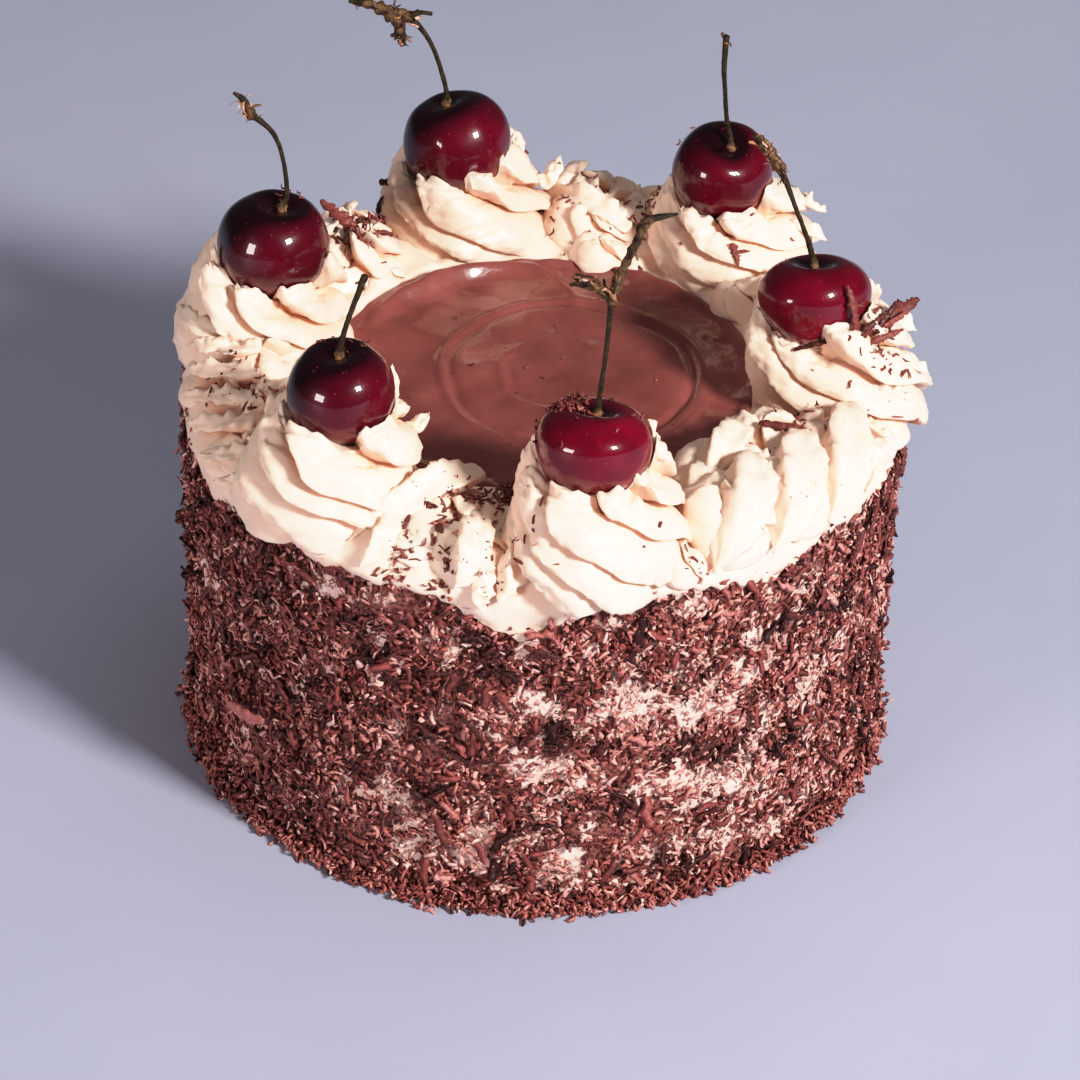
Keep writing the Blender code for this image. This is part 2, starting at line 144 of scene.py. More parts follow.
# Short strands of cream pressed on a filler or a rosette. Each point is an azimuth, a distance, a
# height and half the strand's width.
STRANDS = {
    "filler_front_right": (
        ((-45.0, 61.5, 96.5, 4.4), (-54.5, 70.0, 94, 7.0), (-63.0, 78.6, 85.5, 5.4)),
        ((-33.0, 64.0, 97, 4.4), (-42.5, 71.0, 94, 7.2), (-52.5, 78.8, 85.5, 5.8)),
        ((-20.0, 68.0, 96, 4.0), (-30.5, 73.0, 93.5, 6.4), (-41.0, 79.0, 86, 5.2)),
        ((-36.6, 53.5, 95, 3.8), (-47.2, 55.0, 95.5, 5), (-55.9, 58.7, 93, 3.6)),
        ((-21.4, 76.4, 91, 3), (-31.0, 79.0, 86.5, 3.2)),
    ),
    "filler_front_left": (
        ((-104, 49.5, 93, 2.8), (-112, 57.5, 93.5, 4.6), (-117.8, 65.5, 91, 4.8), (-121, 75, 87, 3)),
        ((-115.4, 61.1, 90, 2.8), (-116.2, 71.5, 89, 3.4), (-117.2, 79.3, 84.6, 2.8)),
        ((-106.7, 65.5, 88, 3.2), (-112.1, 72.5, 87, 3.6)),
        ((-100.9, 61.5, 92, 3.2), (-100.8, 72.0, 90, 4.8), (-102.3, 79.0, 84.6, 3.6)),
        ((-92.5, 64, 89, 2.8), (-94, 73, 88, 3.6), (-95.5, 80.2, 82.8, 2.6)),
        ((-98, 72, 88, 2.4), (-98.2, 78.6, 85, 2.6), (-97.6, 80.6, 80.8, 1.8)),
    ),
    "filler_left_front": (
        ((-172.2, 61, 96, 2.6), (-179.5, 75.5, 93, 3.4)),
        ((-166, 62, 94.5, 2.8), (-173.5, 77, 91.5, 3.2)),
        ((-160, 64, 93, 2.8), (-168, 78.5, 89.5, 3.2)),
        ((-153.9, 67, 91.5, 2.8), (-161.5, 79, 88, 3.2)),
        ((-147.5, 69, 90, 2.8), (-154.5, 80, 86.5, 3.0)),
        ((-140, 69, 90, 2.8), (-147, 81, 86.5, 2.8)),
        ((-184, 66, 92, 3), (-182, 77, 89.5, 2.6)),
    ),
    "filler_left_back": (((133, 57, 94, 3), (141, 62, 95, 4.2), (147, 71, 92, 3.6)),),
    "filler_back": (((70, 52, 93, 3), (80, 58, 95.5, 4.2), (90, 66, 94, 3)), ((72, 64, 93, 3), (78, 72, 94, 3.6))),
    "filler_right_back": (((34, 50, 92, 3), (26, 58, 94, 4), (18, 70, 92, 3.4)),),
    "rosette_left": (((-178, 60, 93, 3), (-182, 73, 94, 3.4), (-192, 81, 92, 2.6)),),
    "rosette_right": (
        ((2.3, 69.4, 105, 2.4), (-1.9, 79.2, 102, 1.8)),
        ((-5.7, 70.6, 101, 2.6), (-8.0, 82.6, 97, 1.8)),
        ((-12.4, 70.9, 96.5, 2.6), (-11.2, 80.4, 93, 1.8)),
        ((-14.8, 67.9, 92, 3), (-18.5, 78.2, 89, 2.2)),
    ),
    "rosette_back_right": (
        ((43.7, 73.8, 103, 2.4), (38.0, 78.4, 100, 1.7)),
        ((41.3, 71.1, 99, 2.6), (34.6, 75.2, 96, 1.8)),
    ),
    "rosette_back": (
        ((96.3, 58.6, 103, 2.6), (97.3, 64.5, 109, 1.3)),
        ((90.9, 56.4, 99, 2.8), (87.8, 62.6, 104, 1.5)),
    ),
    "rosette_front_left": (
        ((-130.6, 47.1, 103, 1.8), (-134.3, 44.8, 109, 0.8)),
        ((-122.5, 49.7, 99, 2.4), (-121.2, 44.9, 101.5, 1.6)),
    ),
}
FILLER_PROFILE = (
    (0.80, -0.02, 0.3),
    (0.94, 0.05, 0.9),
    (1.02, 0.24, 1.0),
    (0.98, 0.48, 1.0),
    (0.86, 0.72, 1.0),
    (0.66, 0.90, 0.9),
    (0.40, 1.00, 0.8),
    (0.12, 1.02, 0.4),
)
# Across one petal of cream, from the groove before it to the next: how far round, and how deep.
# The petal's lip hangs over the groove before it.
PETAL = (
    (0.00, 1.00),
    (0.03, 0.72),
    (0.00, 0.42),
    (-0.05, 0.16),
    (-0.02, 0.00),
    (0.10, -0.02),
    (0.28, 0.06),
    (0.48, 0.18),
    (0.66, 0.36),
    (0.82, 0.60),
    (0.94, 0.86),
    (1.00, 1.00),
)
PETAL_DEPTH = 0.23
OVAL = 0.08  # how much further a swirl reaches outwards than inwards

# Each stem's line from the cherry's hollow: across, back, up, and the share of STEM_RADIUS there.
STEM_RADIUS = 0.6
STEMS = {
    "left": (
        (0, 0, -1, 2.2),
        (0.4, 0, 1.5, 1.4),
        (1.2, 0, 3.4, 0.95),
        (1.0, 0.3, 9, 0.8),
        (-0.2, 0.6, 15.5, 0.8),
        (-2.0, 0.8, 19.5, 0.9),
        (-4.6, 1, 22, 1.1),
        (-6.4, 1, 23.6, 1.6),
        (-7.9, 1, 27.0, 1.2),
        (-9.8, 1, 28.6, 0.5),
    ),
    "back": (
        (0, 0, -1, 1.9),
        (-0.3, 0, 3, 1.0),
        (-0.9, 0, 6.4, 0.9),
        (-2.6, 0, 12.7, 0.85),
        (-4.9, 0, 18.2, 0.9),
        (-8.5, 0, 22.7, 1.4),
        (-12.5, 0, 23.8, 2.6),
        (-17, 0, 25.8, 1.7),
        (-22, 0, 26.8, 0.7),
    ),
    "back_right": (
        (0, 0, -1, 1.9),
        (-0.3, 0, 2.5, 1.0),
        (-1.4, 0, 8, 0.85),
        (-2.1, 0, 15, 0.85),
        (-2.5, 0, 20.5, 1.0),
        (-2.4, 0, 28, 1.2),
    ),
    "right": (
        (0, 0, -1, 1.9),
        (-0.8, 0, 3, 1.2),
        (-2.2, 0, 7.5, 0.9),
        (-4.8, 0, 14, 0.85),
        (-7.5, 0, 21, 1.1),
        (-9.6, 0, 25.0, 2.0),
        (-12.4, 0, 29.0, 1.6),
        (-14.2, 0, 31.0, 0.7),
    ),
    "front": (
        (0, 0, -1, 2.1),
        (0.3, 0, 3, 1.0),
        (0.9, 0, 9, 0.85),
        (1.5, 0, 16, 0.85),
        (1.9, 0, 23, 1.0),
        (2.3, 0, 27.4, 1.5),
        (4.0, 0.6, 33, 1.5),
        (6.6, 1, 39.5, 1.3),
        (8.5, 1, 44, 1.5),
        (14.5, 1.5, 45.6, 0.4),
    ),
    "front_left": (
        (0, 0, -1, 1.9),
        (0.7, 0, 4.5, 1.0),
        (2.1, 0, 10.4, 0.95),
        (3.7, 0.4, 15.5, 1.0),
        (5.2, 0.8, 20.5, 1.3),
    ),
}
# Forks of the stems, given in the same way, and the part of each stem that is covered in husks.
TWIGS = {
    "back": (
        ((-12, 0, 24, 2.4), (-10.8, 0, 20, 2.2), (-9.8, 0, 15.5, 0.7)),
        ((-9, 0, 22.8, 1.3), (-6.5, 0, 24.2, 0.9), (-3.6, 0, 24, 0.7)),
    ),
    "front": (((2.3, 0, 27.2, 1.4), (-1.2, 0.3, 29.4, 1.7), (-5.4, 0.6, 30.2, 1.1)),),
}
HUSKS = {"left": 10, "back": 46, "back_right": 3, "right": 34, "front": 44, "front_left": 2}


# ---------------------------------------------------------------- shapes and noise


def smooth_line(points, count):
    """That many rows along a smooth line through all the points, evenly spread between them."""
    line = np.array(points, float)
    line = np.vstack([2 * line[0] - line[1], line, 2 * line[-1] - line[-2]])
    place = np.linspace(0, len(points) - 1, count)
    first = np.minimum(place.astype(int), len(points) - 2)
    t = (place - first)[:, None]
    a, b, c, d = (line[first + step] for step in range(4))
    return 0.5 * (2 * b + (c - a) * t + (2 * a - 5 * b + 4 * c - d) * t**2
                  + (3 * b - a - 3 * c + d) * t**3)


def smoothstep(low, high, value):
    share = np.clip((value - low) / (high - low), 0, 1)
    return share * share * (3 - 2 * share)


def ripple(points, size, seed, waves=14):
    """Smooth random waves through space, about -1 to 1, with humps about that size."""
    draw = np.random.default_rng(seed)
    heading = draw.normal(size=(waves, 3))
    heading /= np.linalg.norm(heading, axis=1)[:, None]
    pace = math.tau / (2 * size) * draw.uniform(0.6, 1.5, waves)
    phase = draw.uniform(0, math.tau, waves)
    return np.sin(points @ (heading * pace[:, None]).T + phase).sum(-1) / math.sqrt(waves)


def polar(azimuth, radius, height=0.0):
    turn = np.radians(azimuth)
    return np.stack(np.broadcast_arrays(radius * np.cos(turn), radius * np.sin(turn), height), -1)


def wrapped(rows, columns):
    """Quads between rows of points that close on themselves. They face out where the columns run
    counter-clockwise and the rows go up."""
    row, column = np.meshgrid(np.arange(rows - 1), np.arange(columns), indexing="ij")
    after = (column + 1) % columns
    low, high = row * columns, (row + 1) * columns
    return np.stack([low + column, low + after, high + after, high + column], -1).reshape(-1, 4)


def closed(grid):
    """Points and faces of a grid (rows, columns, 3) closed by a point at each end."""
    rows, columns = grid.shape[:2]
    points = np.vstack([grid.reshape(-1, 3), grid[0].mean(0), grid[-1].mean(0)])
    column = np.arange(columns)
    after = (column + 1) % columns
    foot = np.stack([after, column, np.full(columns, rows * columns)], -1)
    last = (rows - 1) * columns
    head = np.stack([last + column, last + after, np.full(columns, rows * columns + 1)], -1)
    return points, [wrapped(rows, columns), foot, head]


def piece(name, points, faces, look, slot, nodes=(), smooth=True, **values):
    """A piece of the cake from points in millimetres. Each of values is one number a point."""
    mesh = bpy.data.meshes.new(name)
    mesh.vertices.add(len(points))
    mesh.vertices.foreach_set("co", (points * MM).astype(np.float32).ravel())
    corners = np.concatenate([group.ravel() for group in faces])
    sizes = np.concatenate([np.full(len(group), group.shape[1]) for group in faces])
    mesh.loops.add(len(corners))
    mesh.loops.foreach_set("vertex_index", corners.astype(np.int32))
    mesh.polygons.add(len(sizes))
    starts = np.concatenate([[0], np.cumsum(sizes)[:-1]])
    mesh.polygons.foreach_set("loop_start", starts.astype(np.int32))
    mesh.update(calc_edges=True)
    for key, value in values.items():
        layer = mesh.attributes.new(key, "FLOAT", "POINT")
        layer.data.foreach_set("value", np.asarray(value, np.float32))
    if smooth:
        mesh.shade_smooth()
    mesh.materials.append(look)
    made = bpy.data.objects.new(name, mesh)
    bpy.context.scene.collection.objects.link(made)
    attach(made, "root")
    if nodes:
        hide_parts(*nodes)
    return made


# ---------------------------------------------------------------- materials


def principled(name, colour, roughness, **sockets):
    """A material and its shader. Socket names are given with underscores for spaces."""
    look = bpy.data.materials.new(name)
    look.use_nodes = True
    shader = look.node_tree.nodes["Principled BSDF"]
    shader.inputs["Base Color"].default_value = (*colour, 1)
    shader.inputs["Roughness"].default_value = roughness
    for key, value in sockets.items():
        shader.inputs[key.replace("_", " ")].default_value = value
    return look, shader


def node(look, kind, **settings):
    made = look.node_tree.nodes.new(kind)
    for key, value in settings.items():
        if key in made.inputs:
            made.inputs[key].default_value = value
        else:
            setattr(made, key, value)
    return made


def link(look, source, target):
    look.node_tree.links.new(source, target)


def noise(look, size, detail=4.0, rough=0.55):
    """Noise whose humps are about that many millimetres across."""
    place = node(look, "ShaderNodeTexCoord")
    made = node(look, "ShaderNodeTexNoise", Scale=1 / (size * MM), Detail=detail, Roughness=rough)
    link(look, place.outputs["Object"], made.inputs["Vector"])
    return made.outputs["Fac"]


def ramp(look, value, stops):
    """A colour ramp of (place, colour) stops driven by that value."""
    made = node(look, "ShaderNodeValToRGB")
    line = made.color_ramp
    while len(line.elements) < len(stops):
        line.elements.new(0.5)
    for element, (place, colour) in zip(line.elements, stops):
        element.position = place
        element.color = (*colour, 1)
    link(look, value, made.inputs["Fac"])
    return made.outputs["Color"]


def mixed(look, share, first, second, blend="MIX"):
    """Two colours mixed by a share that is a number or a socket."""
    made = node(look, "ShaderNodeMix", data_type="RGBA", blend_type=blend)
    if isinstance(share, (int, float)):
        made.inputs[0].default_value = share
    else:
        link(look, share, made.inputs[0])
    for socket, colour in ((made.inputs[6], first), (made.inputs[7], second)):
        if isinstance(colour, tuple):
            socket.default_value = (*colour, 1)
        else:
            link(look, colour, socket)
    return made.outputs[2]


def attribute(look, name):
    return node(look, "ShaderNodeAttribute", attribute_name=name).outputs["Fac"]


def spread(look, value, low, high, to_low=0.0, to_high=1.0):
    """The value mapped from low..high to to_low..to_high, and held there."""
    made = node(look, "ShaderNodeMapRange")
    link(look, value, made.inputs["Value"])
    limits = {"From Min": low, "From Max": high, "To Min": to_low, "To Max": to_high}
    for key, limit in limits.items():
        made.inputs[key].default_value = limit
    return made.outputs["Result"]


def bumped(look, shader, *layers):
    """Raises the surface by each (value, height in mm) in turn."""
    below = None
    for value, height in layers:
        made = node(look, "ShaderNodeBump", Strength=1.0, Distance=height * MM)
        link(look, value, made.inputs["Height"])
        if below:
            link(look, below, made.inputs["Normal"])
        below = made.outputs["Normal"]
    link(look, below, shader.inputs["Normal"])


def cream_look():
    look, shader = principled(
        "whipped_cream",
        (0.93, 0.76, 0.62),
        0.42,
        Subsurface_Weight=0.22,
        Subsurface_Radius=(1.0, 0.5, 0.3),
        Subsurface_Scale=0.003,
        Specular_IOR_Level=0.4,
    )
    # The attribute hollow carries painted shade: the cream turns darker and warmer in the grooves of the swirls
    # and under the strands.
    hollow = spread(look, attribute(look, "hollow"), 0.4, 1.0)
    colour = mixed(look, hollow, (0.93, 0.69, 0.55), (0.92, 0.59, 0.42))
    cloudy = spread(look, noise(look, 9), 0.35, 0.7, 0.0, 0.35)
    colour = mixed(look, cloudy, colour, (0.91, 0.64, 0.51))
    link(look, colour, shader.inputs["Base Color"])
    gloss = spread(look, noise(look, 4), 0.3, 0.7, 0.34, 0.52)
    link(look, gloss, shader.inputs["Roughness"])
    bumped(look, shader, (noise(look, 2.2, 5), 0.16), (noise(look, 0.5, 2), 0.03))
    return look


def chocolate_look(name, dark, middle, light, roughness):
    """Chocolate whose colour goes by each shaving's tone, with fine grain along it."""
    look, shader = principled(name, middle, roughness, Specular_IOR_Level=0.3)
    grain = spread(look, noise(look, 0.6), 0.3, 0.7, -0.12, 0.12)
    tone = node(look, "ShaderNodeMath", operation="ADD")
    link(look, attribute(look, "tone"), tone.inputs[0])
    link(look, grain, tone.inputs[1])
    stops = ((0.0, dark), (0.5, middle), (0.82, light), (1.0, (0.80, 0.53, 0.46)))
    link(look, ramp(look, tone.outputs[0], stops), shader.inputs["Base Color"])
    rough = spread(look, noise(look, 1.5), 0.3, 0.7, roughness - 0.1, roughness + 0.12)
    link(look, rough, shader.inputs["Roughness"])
    bumped(look, shader, (noise(look, 0.45, 3), 0.05))
    return look


def coat_look():
    """The cream on the cake's side, pressed full of fine chocolate dust and bare in patches."""
    look, shader = principled("coat", (0.3, 0.12, 0.1), 0.6, Specular_IOR_Level=0.3)
    bare = attribute(look, "bare")
    speck = spread(look, noise(look, 0.9, 3, 0.6), 0.38, 0.6)
    crumb = mixed(look, speck, (0.05, 0.012, 0.010), (0.30, 0.10, 0.083))
    cloud = spread(look, noise(look, 6), 0.35, 0.65, 0.0, 0.5)
    cream = mixed(look, cloud, (0.86, 0.63, 0.55), (0.74, 0.43, 0.36))
    dusty = node(look, "ShaderNodeMath", operation="SUBTRACT")
    link(look, bare, dusty.inputs[0])
    link(look, spread(look, noise(look, 1.6, 4, 0.6), 0.35, 0.65, 0.0, 0.75), dusty.inputs[1])
    shown = spread(look, dusty.outputs[0], 0.05, 0.3)
    link(look, mixed(look, shown, crumb, cream), shader.inputs["Base Color"])
    bumped(look, shader, (noise(look, 3, 4), 0.8), (noise(look, 0.8, 3), 0.3))
    return look


def ganache_look():
    look, shader = principled(
        "ganache", (0.28, 0.08, 0.07), 0.3, Specular_IOR_Level=0.25, Coat_Weight=0.5, Coat_Roughness=0.1
    )
    streak = spread(look, noise(look, 12, 6, 0.6), 0.35, 0.68)
    colour = mixed(look, streak, (0.190, 0.053, 0.045), (0.270, 0.080, 0.070))
    link(look, colour, shader.inputs["Base Color"])
    rough = spread(look, noise(look, 7), 0.3, 0.7, 0.22, 0.42)
    link(look, rough, shader.inputs["Roughness"])
    bumped(look, shader, (noise(look, 5, 4), 0.35), (noise(look, 1.2, 3), 0.04))
    return look


def cherry_look():
    look, shader = principled(
        "cherry_skin",
        (0.16, 0.004, 0.016),
        0.3,
        Specular_IOR_Level=0.1,
        Coat_Weight=0.75,
        Coat_Roughness=0.035,
        Subsurface_Weight=0.1,
        Subsurface_Radius=(1.0, 0.1, 0.1),
        Subsurface_Scale=0.003,
    )
    ripe = spread(look, noise(look, 11, 3), 0.35, 0.68)
    colour = mixed(look, ripe, (0.11, 0.001, 0.010), (0.205, 0.002, 0.019))
    # Painted shade: near-black in the stem's hollow and towards the upper left and back, and darker all over on
    # the cherries given in CHERRY_DARK.
    painted_shade = spread(look, attribute(look, "hollow"), 0.05, 0.95)
    colour = mixed(look, painted_shade, colour, (0.010, 0.001, 0.003))
    dots = node(look, "ShaderNodeTexVoronoi", Scale=1 / (1.9 * MM))
    place = node(look, "ShaderNodeTexCoord")
    link(look, place.outputs["Object"], dots.inputs["Vector"])
    speck = spread(look, dots.outputs["Distance"], 0.06, 0.13, 0.55, 0.0)
    link(look, mixed(look, speck, colour, (0.30, 0.04, 0.06)), shader.inputs["Base Color"])
    bumped(look, shader, (noise(look, 3.5, 3), 0.08), (noise(look, 0.9, 2), 0.02))
    return look


def stem_look():
    look, shader = principled("cherry_stem", (0.06, 0.035, 0.015), 0.6, Specular_IOR_Level=0.2)
    worn = spread(look, noise(look, 1.4, 4), 0.35, 0.65)
    colour = mixed(look, worn, (0.010, 0.007, 0.005), (0.050, 0.031, 0.012))
    dry = spread(look, attribute(look, "dry"), 0.35, 0.9)
    tips = mixed(look, worn, (0.085, 0.036, 0.016), (0.36, 0.20, 0.10))
    colour = mixed(look, dry, colour, tips)
    link(look, colour, shader.inputs["Base Color"])
    bumped(look, shader, (noise(look, 0.8, 3), 0.2))
    return look


def floor_look():
    look, shader = principled("studio_floor", (0.55, 0.57, 0.70), 0.55, Specular_IOR_Level=0.2)
    mottle = spread(look, noise(look, 60, 3), 0.3, 0.7)
    colour = mixed(look, mottle, (0.415, 0.43, 0.545), (0.43, 0.445, 0.56))
    link(look, colour, shader.inputs["Base Color"])
    return look


# ---------------------------------------------------------------- cherries


class Cherry:
    """Where a cherry of the CAD is, how big it is, and how it leans."""

    def __init__(self, name):
        low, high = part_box(f"cherry_{name}")
        rise, right, front, self.top, self.foot = CHERRIES[name]
        self.name = name
        self.middle = np.array((low + high) / 2) / MM + (0, 0, rise)
        self.half = float((high.x - low.x + high.y - low.y) / 4 / MM)
        turn = Euler((math.radians(front), math.radians(right), 0)).to_matrix()
        self.lean = np.array(turn)

    def radius(self, level):
        tall = np.where(level > 0, self.top, self.foot) * self.half
        share = np.clip(np.abs(level) / tall, 0, 1)
        return self.half * (1 - share * share) ** (CHERRY_FULL / 2)

    def outside(self, points, room=0.1):
        """The points, with those inside the cherry moved out to its skin."""
        local = (points - self.middle) @ self.lean
        across = np.hypot(local[..., 0], local[..., 1])
        free = self.radius(local[..., 2]) + room
        level = (local[..., 2] < self.top * self.half) & (local[..., 2] > -self.foot * self.half)
        push = np.where(level & (across < free), free / np.maximum(across, 0.1), 1.0)
        local[..., 0] *= push
        local[..., 1] *= push
        return self.middle + local @ self.lean.T

    def build(self, look, seed):
        """The skin: round shoulders, a hollow for the stem, a faint seam and small dents, with painted shade in
        the hollow and on its upper-left side.
        """
        rows, columns = 66, 84
        lift = np.linspace(-89, 89, rows)[:, None]
        turn = np.linspace(0, 360, columns, endpoint=False)[None, :]
        lift, turn = np.broadcast_arrays(np.radians(lift), np.radians(turn))
        seam = 0.035 * np.exp(-((np.sin(turn / 2) / 0.13) ** 2)) * np.cos(lift)
        radius = self.half * np.cos(lift) ** CHERRY_FULL * (1 + 0.02 * np.cos(2 * turn + seed) - seam)
        height = self.half * np.where(lift > 0, self.top, self.foot) * np.sin(lift)
        near = radius / self.half
        dent = CHERRY_DENT * np.exp(-((near / 0.36) ** 2)) * (1 + 0.6 * np.cos(turn) ** 2 * near)
        height -= np.where(lift > 0, dent * self.half, 0)
        local = np.stack([radius * np.cos(turn), radius * np.sin(turn), height], -1)
        local += (local / self.half) * 0.16 * ripple(local, 6, seed)[..., None]
        spin = np.array(Matrix.Rotation(math.radians(200 + 40 * seed), 3, "Z"))
        points, faces = closed(self.middle + local @ spin.T @ self.lean.T)
        # Painted shade, carried by hollow: darkest in the stem's hollow, darker towards the upper left and back,
        # and darker all over by CHERRY_DARK.
        dark = np.where(lift > 0, np.exp(-((near / 0.4) ** 2)), 0).ravel()
        shaded = smoothstep(-0.2, 1.1, (points - self.middle) @ (-0.55, 0.45, 0.7) / self.half)
        dark = np.concatenate([dark, [0, 1]])
        hollow = np.clip(dark + CHERRY_DARK[self.name] + (0.35 + CHERRY_DARK[self.name]) * shaded, 0, 1)
        name = f"skin_{self.name}"
        return piece(name, points, faces, look, "cherry_skin", [f"cherry_{self.name}"], hollow=hollow)

    def build_stem(self, look, seed):
        """The stem, from its pale collar in the hollow to its swollen end, and its forks."""
        foot = self.middle + self.lean @ np.array([0, 0, self.half * (self.top - CHERRY_DENT)])
        tall = STEMS[self.name][-1][2]
        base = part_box(f"stem_{self.name}")[0][2] / MM
        stretch = (1, 1, (tall + base - foot[2]) / tall, 1)
        lines = [smooth_line(line, 90) * stretch for line in (STEMS[self.name], *TWIGS.get(self.name, ()))]
        made, dry = joined([tube(foot, line, seed + number) for number, line in enumerate(lines)])
        name = f"twig_{self.name}"
        piece(name, *made, look, "cherry_stem", [f"stem_{self.name}"], dry=dry)
        return foot, np.concatenate([line[line[:, 3] > 1.15] for line in lines])


def tube(foot, line, seed):
    """Points and faces round a stem's line, and how dry and pale it is there."""
    path, thick = line[:, :3], line[:, 3] * STEM_RADIUS
    columns = 14
    ahead = np.gradient(path, axis=0)
    ahead /= np.linalg.norm(ahead, axis=1)[:, None]
    side = np.cross(ahead, (0, 1, 0.05))
    side /= np.linalg.norm(side, axis=1)[:, None]
    up = np.cross(ahead, side)
    turn = np.linspace(0, math.tau, columns, endpoint=False)
    ring = side[:, None] * np.cos(turn)[None, :, None] + up[:, None] * np.sin(turn)[None, :, None]
    swollen = smoothstep(1.1, 1.6, line[:, 3])[:, None]
    rough = 1 + (0.06 + 0.28 * swollen) * ripple(path[:, None] + ring * 2, 1.2, seed)
    grid = foot + path[:, None] + ring * (thick[:, None] * rough)[..., None]
    collar_end = np.exp(-((path[:, 2] / 1.8) ** 2))
    dry = collar_end + 0.6 * smoothstep(12, 22, path[:, 2]) * smoothstep(1.05, 1.5, line[:, 3])
    return (*closed(grid), np.concatenate([np.repeat(dry, columns), dry[:1], dry[-1:]]))


def joined(parts):
    """Several (points, faces, value) as one ((points, faces), value)."""
    points, faces, start = [], [], 0
    for some, groups, _ in parts:
        points.append(some)
        faces += [group + start for group in groups]
        start += len(some)
    return (np.vstack(points), faces), np.concatenate([value for _, _, value in parts])


def husks(look, ends):
    """Torn dry husks round the ends of the stems."""
    draw = np.random.default_rng(77)
    spots, along = [], []
    for name, (foot, line) in ends.items():
        if len(line) > 1:
            line = line[line[:, 2] > 8]
            place = draw.integers(1, len(line), HUSKS[name])
            spots.append(foot + line[place, :3] + draw.normal(0, 0.55, (len(place), 3)))
            along.append(line[place, :3] - line[place - 1, :3])
    spots, along = np.concatenate(spots), np.concatenate(along)
    along /= np.linalg.norm(along, axis=1)[:, None]
    count = len(spots)
    outward = draw.normal(size=(count, 3)) + (0, -0.8, 0.4)
    size = [draw.uniform(*span, count) for span in ((1.6, 4.6), (0.5, 1.5), (0.15, 0.3))]
    tone = draw.uniform(0, 1, count)
    shavings("husks", spots, outward, size, look, "cherry_stem", tone, 78, 5, 3, 0.3, 1.0, along)


# ---------------------------------------------------------------- whipped cream


def petals(ridges, columns, seed):
    """Angle, depth and share of the way across its petal, for each column round a swirl."""
    draw = np.random.default_rng(seed)
    profile = smooth_line(PETAL, columns + 1)[:-1]
    edges = (np.arange(ridges) + draw.uniform(-0.16, 0.16, ridges)) / ridges
    width = np.diff(np.append(edges, edges[0] + 1))
    angle = math.tau * (edges[:, None] + width[:, None] * profile[None, :, 0])
    depth = profile[None, :, 1] * draw.uniform(0.75, 1.25, ridges)[:, None]
    return angle.ravel(), np.clip(depth.ravel(), 0, 1.25), np.repeat(draw.uniform(-1, 1, ridges), columns)


